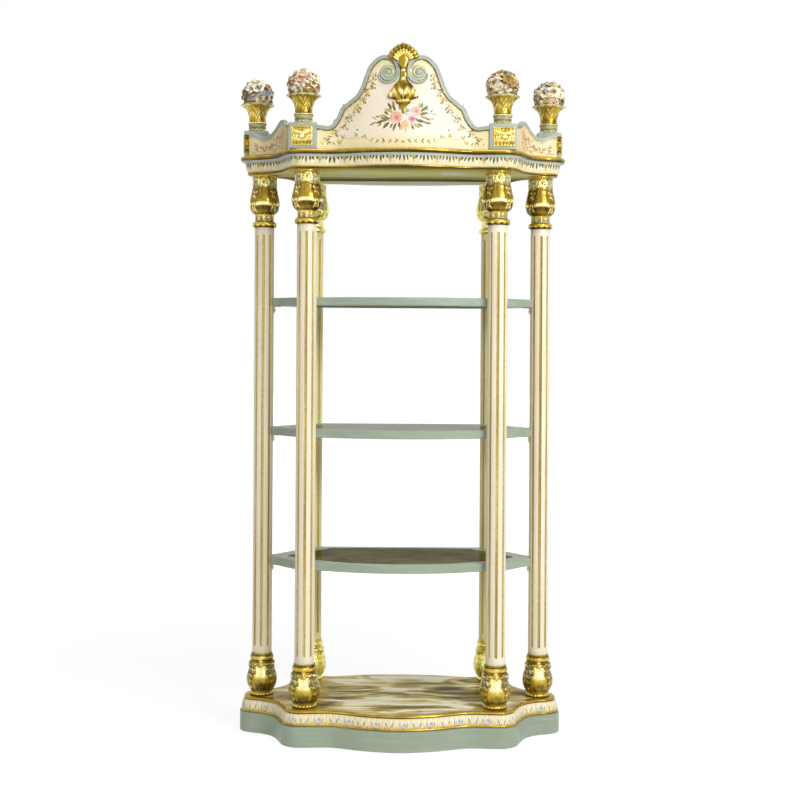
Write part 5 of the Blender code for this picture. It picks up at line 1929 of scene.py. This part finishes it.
class BuildCrest(bpy.types.Operator):
    """Ribbed shell, stem and leafy husk on the middle of the pediment"""

    bl_idname = "shelf.build_crest"
    bl_label = "Crest"

    def execute(self, context):
        base_y = front_y(0) + PEDIMENT_FACE_INSET
        add_husk(base_y, low("crest_carving").z - CREST_DROP)
        top = high("crest_carving").z - CREST_DROP
        add_shell(base_y, top)
        add_tongue(base_y, top)
        return {"FINISHED"}


def wing_stations():
    """Middle line of the right wing seen from above, and its top, outer end first."""
    lowest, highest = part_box("wing_right")
    line = []
    for point, way in zip(PLAN.inset(WING_FACE_INSET + WING_HALF), PLAN.outwards):
        behind = point.y - way.y * WING_HALF
        if point.x > lowest.x and lowest.y + 0.004 < point.y and behind < highest.y:
            line.append((point, way))
    line.sort(key=lambda pair: -pair[0].y)
    tops = (
        (0, 0.7), (0.08, 0.71), (0.18, 0.62), (0.28, 0.585), (0.4, 0.64), (0.52, 0.8), (0.64, 0.95),
        (0.74, 1), (0.84, 0.98), (0.93, 0.9), (1, 0.85),
    )
    tops = [tuple(pair) for pair in smooth_line(tops, 4)]
    rise = highest.z - GALLERY_Z
    run = distances([point for point, _ in line])
    return [
        (point, way, read_off(tops, distance / run[-1]) * rise, distance)
        for (point, way), distance in zip(line, run)
    ]


def wing_place(side, point, way, outwards, height):
    """A place on a wing, so far out from its middle line and above the cornice."""
    spot = point + way * outwards
    return side * spot.x, spot.y, GALLERY_Z + height


def add_capping(stations, side, name):
    """The green moulding along a wing's top; its section is (share across, share down)."""
    reach = WING_HALF + WING_CAP_PROUD
    section = (
        (1, -1), (1, -0.3), (0.82, -0.08), (0.4, 0), (-0.4, 0), (-0.82, -0.08), (-1, -0.3), (-1, -1),
        (0.0, -1),
    )
    points = []
    for point, way, top, _ in stations:
        for share, drop in section:
            height = top + WING_CAP_HEIGHT * drop
            points.append(wing_place(side, point, way, reach * share, height))
    add_rows(f"wing_capping_{name}", points, len(section), "green_paint")


def paint_wing(stations, side, name):
    """A gilt line round a wing's field, and leaves and a flower inside it."""
    run = [distance for _, _, _, distance in stations]
    whole = run[-1]
    tops = [(distance, top) for _, _, top, distance in stations]

    def surface(along, up):
        index, share = step_at(run, min(max(along, 0), whole * 0.999))
        (point, way, _, _), (next_point, next_way, _, _) = stations[index:index + 2]
        way = way.lerp(next_way, share).normalized()
        place = wing_place(side, point.lerp(next_point, share), way, WING_HALF, up)
        return Vector(place), Vector((side * way.x, way.y, 0))

    brush = Brush(surface)
    gold, brown, olive, rose = "c09438", "a06c30", "948036", "c4784a"
    inset = 0.01
    frame_line = [(inset, 0.008)]
    for step in range(19):
        along = between(inset, whole - inset, step / 18)
        frame_line.append((along, read_off(tops, along) - WING_CAP_HEIGHT - 0.005))
    frame_line += [(whole - inset, 0.008), (inset, 0.008)]
    brush.stroke(frame_line, [0.0018] * len(frame_line), gold)
    chance = random.Random(8)
    for step in range(17):
        along = between(0.02, whole - 0.02, step / 16)
        room = read_off(tops, along) - WING_CAP_HEIGHT
        for row in range(2 if room < 0.055 else 3):
            up = 0.014 + (room - 0.032) * (row + 0.5 + 0.5 * math.sin(1.3 * step + row)) / 3.2
            tone = (brown, olive, gold)[(step + row) % 3]
            turn = chance.uniform(-70, 250)
            brush.leaf((along, up), turn, chance.uniform(0.011, 0.017), 0.0074, tone, bend=60)
    hump = whole * 0.8
    for turn in range(0, 360, 60):
        brush.leaf((hump, 0.06), turn, 0.0095, 0.007, rose, "e2b484")
    vine = ((0.02, 0.03), (whole * 0.3, 0.024), (whole * 0.55, 0.034), (hump, 0.056))
    brush.line(vine, 0.0016, gold)
    brush.finish(f"wing_spray_{name}")


class BuildWings(bpy.types.Operator):
    """Painted wings with a capping that dips and humps"""

    bl_idname = "shelf.build_wings"
    bl_label = "Wings"

    def execute(self, context):
        stations = wing_stations()
        whole = stations[-1][3]
        rows = 12
        for name, side in SIDES:
            points, border, warm = [], [], []
            for point, way, top, distance in stations:
                # Warmer towards the front end and away from the edges: partly the field's own tan, partly
                # painted shade
                warm_shade_share = 0.15 + 0.4 * ease(distance, whole * 0.45, whole * 0.9)
                for row in range(rows):
                    height = (top - WING_UNDER_CAP) * row / (rows - 1)
                    near = min(height, top - height - WING_CAP_HEIGHT, distance, whole - distance)
                    points.append(wing_place(side, point, way, WING_HALF, height))
                    border.append(1 - 0.6 * ease(near, 0.004, 0.024))
                    warm.append(warm_shade_share * ease(near, 0, 0.02))
                for height in (top - WING_UNDER_CAP, 0):
                    points.append(wing_place(side, point, way, -WING_HALF, height))
                    border.append(0.5)
                    warm.append(0.1)
            add_rows(f"painted_wing_{name}", points, rows + 2, "cream_paint", f"wing_{name}",
                     border=border, warm=warm)
            add_capping(stations, side, name)
            paint_wing(stations, side, name)
        return {"FINISHED"}


def rounded_corners(lowest, highest):
    """Corners of a box seen from above, rounded a little, anticlockwise."""
    size = highest - lowest
    middle = (lowest + highest) / 2
    round_x, round_y = DIE_ROUND / size.x, DIE_ROUND / size.y
    ring = []
    for corner, (x, y) in enumerate(((1, 1), (-1, 1), (-1, -1), (1, -1))):
        for step in range(5):
            angle = math.pi / 2 * (corner + step / 4)
            across = x * (1 - 2 * round_x) + 2 * round_x * math.cos(angle)
            along = y * (1 - 2 * round_y) + 2 * round_y * math.sin(angle)
            ring.append((middle.x + across * size.x / 2, middle.y + along * size.y / 2))
    return ring


def add_plaque(where, is_front, outer, lowest, highest):
    """A die's carved plaque; an outer die also has a narrow field beside it, on its front."""
    name = f"gilt_plaque_{where}"
    if is_front:
        left = lowest.x + PLAQUE_SIDE + PLAQUE_SHIFT * outer
        right = highest.x - PLAQUE_SIDE + PLAQUE_SHIFT * outer
        add_relief(name, lowest, highest, PLAQUE_PROUD, 0, left, right)
        return
    add_relief(name, lowest, highest, PLAQUE_PROUD, outer, lowest.y + 0.006, highest.y - 0.008)
    edges = sorted((outer * CORNER_FIELD_X, outer * (highest.x if outer > 0 else -lowest.x)))
    edges[0 if outer < 0 else 1] -= outer * CORNER_FIELD_PROUD
    name = f"gilt_corner_{where}"
    add_relief(name, lowest, highest, CORNER_FIELD_PROUD, 0, *edges, shade=CORNER_FIELD_SHADE)


def scrollwork(u, v):
    """Height of a symmetric acanthus scroll on a leafy ground, 0 to 1."""
    side = abs(u)
    eye = Vector((side - 0.02, v + 0.001))
    spiral = 0.5 + 0.5 * math.cos(eye.length * 900 - math.atan2(eye.y, eye.x))
    scroll = spiral * bump(eye.length, 0, 0.015)
    petals = 0.5 + 0.5 * math.cos(6 * math.atan2(v, u))
    flower = bump(math.hypot(u, v), 0, 0.009 + 0.0035 * petals)
    leaf = leaf_run(v - 0.01 - 0.25 * side, side / 0.034, 0.009)
    drop = leaf_run(v + 0.014 - 0.15 * side, side / 0.032, 0.008)
    return max(scroll, flower, leaf * 0.95, drop * 0.85, foliage(u, v, 0.0058) * 0.8)


def add_relief(name, lowest, highest, proud, outer, left, right, shade=PLAQUE_SHADE):
    """A carved and gilded field on a die's front, or on its outer side where outer is 1 or -1."""
    bottom, top = lowest.z + PLAQUE_BELOW, highest.z - PLAQUE_ABOVE
    lift = 0.92 - 1.4 * (PLAQUE_SHADE - shade)
    columns, rows = 57, 45

    def place(across, up, depth):
        if not outer:
            return across, lowest.y - depth, up
        return (highest.x + depth if outer > 0 else lowest.x - depth), across, up

    points, relief = [], []
    for column in range(columns):
        a = column / (columns - 1)
        across = between(left, right, a)
        for row in range(rows):
            b = row / (rows - 1)
            level = scrollwork((a - 0.5) * (right - left), (b - 0.5) * (top - bottom))
            for away in (min(a, 1 - a) * (right - left), min(b, 1 - b) * (top - bottom)):
                level = max(level, 0.75 * bump(away, 0.001, 0.0016))
            points.append(place(across, between(bottom, top, b), 0.0004 + (proud - 0.0005) * level))
            relief.append(shade + lift * level)
        points += [place(across, up, -0.0005) for up in (top, bottom)]
        relief += [shade, shade]
    add_rows(name, points, rows + 2, "gold_leaf", sharp_above=50, relief=relief)


class BuildDies(bpy.types.Operator):
    """Painted blocks with a gilded and carved plaque"""

    bl_idname = "shelf.build_dies"
    bl_label = "Dies"

    def execute(self, context):
        edge = sizes().frame_round
        for where in DIES:
            lowest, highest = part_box(f"die_{where}")
            is_front = where.startswith("front")
            outer = 1 if where.endswith("right") else -1
            if is_front:
                lowest.y += PLAQUE_PROUD
            elif outer > 0:
                highest.x -= PLAQUE_PROUD
            else:
                lowest.x += PLAQUE_PROUD
            outline = Outline(rounded_corners(lowest, highest), 1)
            rise = highest.z - lowest.z
            rows = ((edge, 0), (0, edge), (0, rise - edge), (edge, rise))
            add_board(f"painted_die_{where}", outline, rows, lowest.z, "green_paint", f"die_{where}")
            add_plaque(where, is_front, outer, lowest, highest)
        return {"FINISHED"}


class BuildVases(bpy.types.Operator):
    """Painted and gilded vases on the dies"""

    bl_idname = "shelf.build_vases"
    bl_label = "Vases"

    def execute(self, context):
        places = places_of("finial_vase", DIES, VASE_Z)
        add_carvings("carved_vase", "finial_vase", places, VASE_PROFILE, vase_shape, VASE_SIDES)
        centres = [(x, y, z + VASE_BEAD_Z) for x, y, z in places.values()]
        add_bead_rings("vase_beads", centres, VASE_BEADS, VASE_BEAD_RING, VASE_BEAD_RADIUS)
        return {"FINISHED"}


def blossom_mesh():
    """One blossom of five cupped petals, a closed shell of radius 1, with its rim marked."""
    sides = 20
    rings = ((0.15, 0.2, 0.0), (0.3, 0.1, 0.3), (0.7, 0.24, 0.72), (1.0, 0.34, 1.0), (0.95, 0.2, 1.0))
    points, rim = [(0, 0, 0.27)], [0.0]
    for reach, height, mark in rings:
        for angle in turns(sides):
            lobe = abs(math.cos(2.5 * angle)) ** 0.5
            grown = reach * (1 - (1 - lobe) * 0.3 * min(1, reach * 1.2))
            lift = height * (0.5 + 0.5 * lobe) + 0.06 * math.sin(3 * angle + 1) * reach
            points.append(turned(grown, angle, lift))
            rim.append(mark)
    points.append((0, 0, -0.25))
    rim.append(0.6)
    faces = [(0, 1 + side, 1 + (side + 1) % sides) for side in range(sides)]
    faces += [tuple(1 + corner for corner in face) for face in join_rows(len(rings), sides)[:-2]]
    last = 1 + (len(rings) - 1) * sides
    faces += [(len(points) - 1, last + (side + 1) % sides, last + side) for side in range(sides)]
    return add_mesh("blossom", points, faces, "blossom_paint", 60, rim=rim)


def ball_tree():
    """A ball set with blossoms, each with its own turn, size and tone."""
    tree = GrownTree("flower_ball", {
        "Radius": "Float", "Blossom Radius": "Float", "Spacing": "Float", "Seed": "Int",
        "Blossom": "Object", "Finish": "Material",
    })
    seed = tree.given("Seed")
    values = {"Segments": 40, "Rings": 20, "Radius": tree.given("Radius")}
    ball = tree.node("GeometryNodeMeshUVSphere", values)
    values = {"Mesh": ball, "Distance Min": tree.given("Spacing"), "Density Max": 90000.0, "Seed": seed}
    spread = tree.node("GeometryNodeDistributePointsOnFaces", values, distribute_method="POISSON")
    blossom = tree.node("GeometryNodeObjectInfo", {"Object": tree.given("Blossom")})
    set_down = tree.node("GeometryNodeInstanceOnPoints", {
        "Points": spread.out("Points"), "Instance": blossom.out("Geometry"),
        "Rotation": spread.out("Rotation"),
        "Scale": tree.chance(0.7, 1.38, seed) * tree.given("Blossom Radius"),
    })
    spin = tree.chance(0.0, math.tau, seed + 3)
    tilt = tree.chance(-0.45, 0.45, seed + 5)
    turn = tree.node("ShaderNodeCombineXYZ", {"X": tilt, "Y": tilt * -0.7, "Z": spin})
    turned = tree.node("GeometryNodeRotateInstances", {"Instances": set_down, "Rotation": turn})
    toned = tree.marked(turned, "tone", tree.chance(0.0, 1.0, seed + 7), "INSTANCE")
    ground = tree.marked(tree.marked(ball, "tone", 0.95), "rim", 0.5)
    join = tree.node("GeometryNodeJoinGeometry")
    for part in (toned, ground):
        tree.feed(join.node.inputs[0], part)
    tree.end(join)
    return tree


class BuildFlowerBalls(bpy.types.Operator):
    """Balls of glazed blossoms on the vases"""

    bl_idname = "shelf.build_flower_balls"
    bl_label = "Flower balls"

    def execute(self, context):
        size = sizes()
        blossom = blossom_mesh()
        tree = ball_tree()
        for seed, where in enumerate(DIES, start=4):
            name = f"blossom_ball_{where}"
            ball = tree.grow(name, plain_mesh(name, [(0, 0, 0)]), {
                "Radius": BALL_RADIUS - size.blossom_radius * 0.6,
                "Blossom Radius": size.blossom_radius, "Spacing": size.blossom_spacing,
                "Seed": seed * 13, "Blossom": blossom, "Finish": finish_called("blossom_paint"),
            })
            middle = Vector((*axis_of(f"flower_ball_{where}"), BALL_Z))
            for vertex in ball.data.vertices:
                lump = noise.noise(vertex.co.normalized() * LUMPS_ROUND_BALL + Vector((seed, 0, 0)))
                furthest = BALL_RADIUS * min(1, BALL_REACH + BALL_LUMP * lump)
                if vertex.co.length > furthest:
                    vertex.co *= furthest / vertex.co.length
                vertex.co += middle
            settle(ball, "flower_ball", f"flower_ball_{where}")
        bpy.data.objects.remove(blossom)
        return {"FINISHED"}


def add_floor():
    """A white floor, evenly bright to the camera far from the shelf."""
    reach = FLOOR_REACH
    corners = [(-reach, -reach, 0), (reach, -reach, 0), (reach, reach, 0), (-reach, reach, 0)]
    floor = put("floor", plain_mesh("floor", corners, faces=[(0, 1, 2, 3)]))
    floor.location.z = -FLOOR_DROP
    material = bpy.data.materials.new("floor_white")
    graph = cleared_graph(material)
    paint = graph.node("ShaderNodeBsdfDiffuse", {"Color": FLOOR_GREY})
    glow = graph.node("ShaderNodeEmission", {"Color": WHITE, "Strength": FLOOR_GLOW})
    across, along = graph.place("X"), graph.place("Y")
    far = (across * across + along * along).stretch(2, 12, 0.78, 1.0)
    mixed = graph.node("ShaderNodeMixShader", {0: graph.camera_sees() * far, 1: paint, 2: glow})
    graph.node("ShaderNodeOutputMaterial", {"Surface": mixed})
    floor.data.materials.append(material)


def add_world(context):
    """White surroundings that light the shelf less than they look."""
    world = bpy.data.worlds.new("studio")
    context.scene.world = world
    graph = cleared_graph(world)
    strength = graph.camera_sees() * (1 - ROOM_LIGHT) + ROOM_LIGHT
    light = graph.node("ShaderNodeBackground", {"Color": WHITE, "Strength": strength})
    graph.node("ShaderNodeOutputWorld", {"Surface": light})


def add_lamps():
    """Soft lamps, aimed at the shelf's middle."""
    for name, place, size, power in LAMPS:
        lamp = bpy.data.lights.new(name, "AREA")
        lamp.size = size
        lamp.energy = power
        holder = put(name, lamp)
        holder.location = place
        aim = Vector(LAMPS_AIM_AT) - Vector(place)
        holder.rotation_euler = aim.to_track_quat("-Z", "Y").to_euler()


def add_camera(context):
    """A camera where the photograph's stood."""
    lens = bpy.data.cameras.new("camera")
    lens.lens = CAMERA_LENS
    lens.sensor_width = SENSOR
    lens.shift_x, lens.shift_y = (pixels / PHOTO_SIZE for pixels in CAMERA_SHIFT_PIXELS)
    camera = put("camera", lens)
    camera.location = CAMERA_PLACE
    camera.rotation_euler = (math.pi / 2, math.radians(CAMERA_ROLL), 0)
    context.scene.camera = camera


class SetStage(bpy.types.Operator):
    """Pale floor, soft lamps, white surroundings and the photograph's camera"""

    bl_idname = "shelf.set_stage"
    bl_label = "Stage"

    def execute(self, context):
        add_floor()
        add_world(context)
        add_lamps()
        add_camera(context)
        context.scene.view_settings.view_transform = "Standard"
        return {"FINISHED"}


OPERATORS = (
    BuildBase, BuildRolls, BuildFeet, BuildCapitals, BuildShafts, BuildShelves, FinishBrackets,
    BuildCornice, PaintBands, BuildPediment, BuildTrims, BuildCrest, BuildWings, BuildDies,
    BuildVases, BuildFlowerBalls, SetStage,
)


class ShelfPanel(bpy.types.Panel):
    """Buttons for each group of pieces, and the maker's sizes and colours"""

    bl_idname = "VIEW3D_PT_shelf"
    bl_label = "Display shelf"
    bl_space_type = "VIEW_3D"
    bl_region_type = "UI"
    bl_category = "Shelf"

    def draw(self, context):
        for operator in OPERATORS:
            self.layout.operator(operator.bl_idname)
        for group in (context.scene.shelf_sizes, context.scene.shelf_colours):
            box = self.layout.box()
            for key in group.__annotations__:
                box.prop(group, key)


CLASSES = (ShelfSizes, ShelfColours, *OPERATORS, ShelfPanel)


def register():
    for item in CLASSES:
        bpy.utils.register_class(item)
    bpy.types.Scene.shelf_sizes = PointerProperty(type=ShelfSizes)
    bpy.types.Scene.shelf_colours = PointerProperty(type=ShelfColours)


def unregister():
    del bpy.types.Scene.shelf_colours
    del bpy.types.Scene.shelf_sizes
    for item in reversed(CLASSES):
        bpy.utils.unregister_class(item)


def main():
    register()
    for operator in OPERATORS:
        area, name = operator.bl_idname.split(".")
        getattr(getattr(bpy.ops, area), name)()


if __name__ == "__main__":
    main()
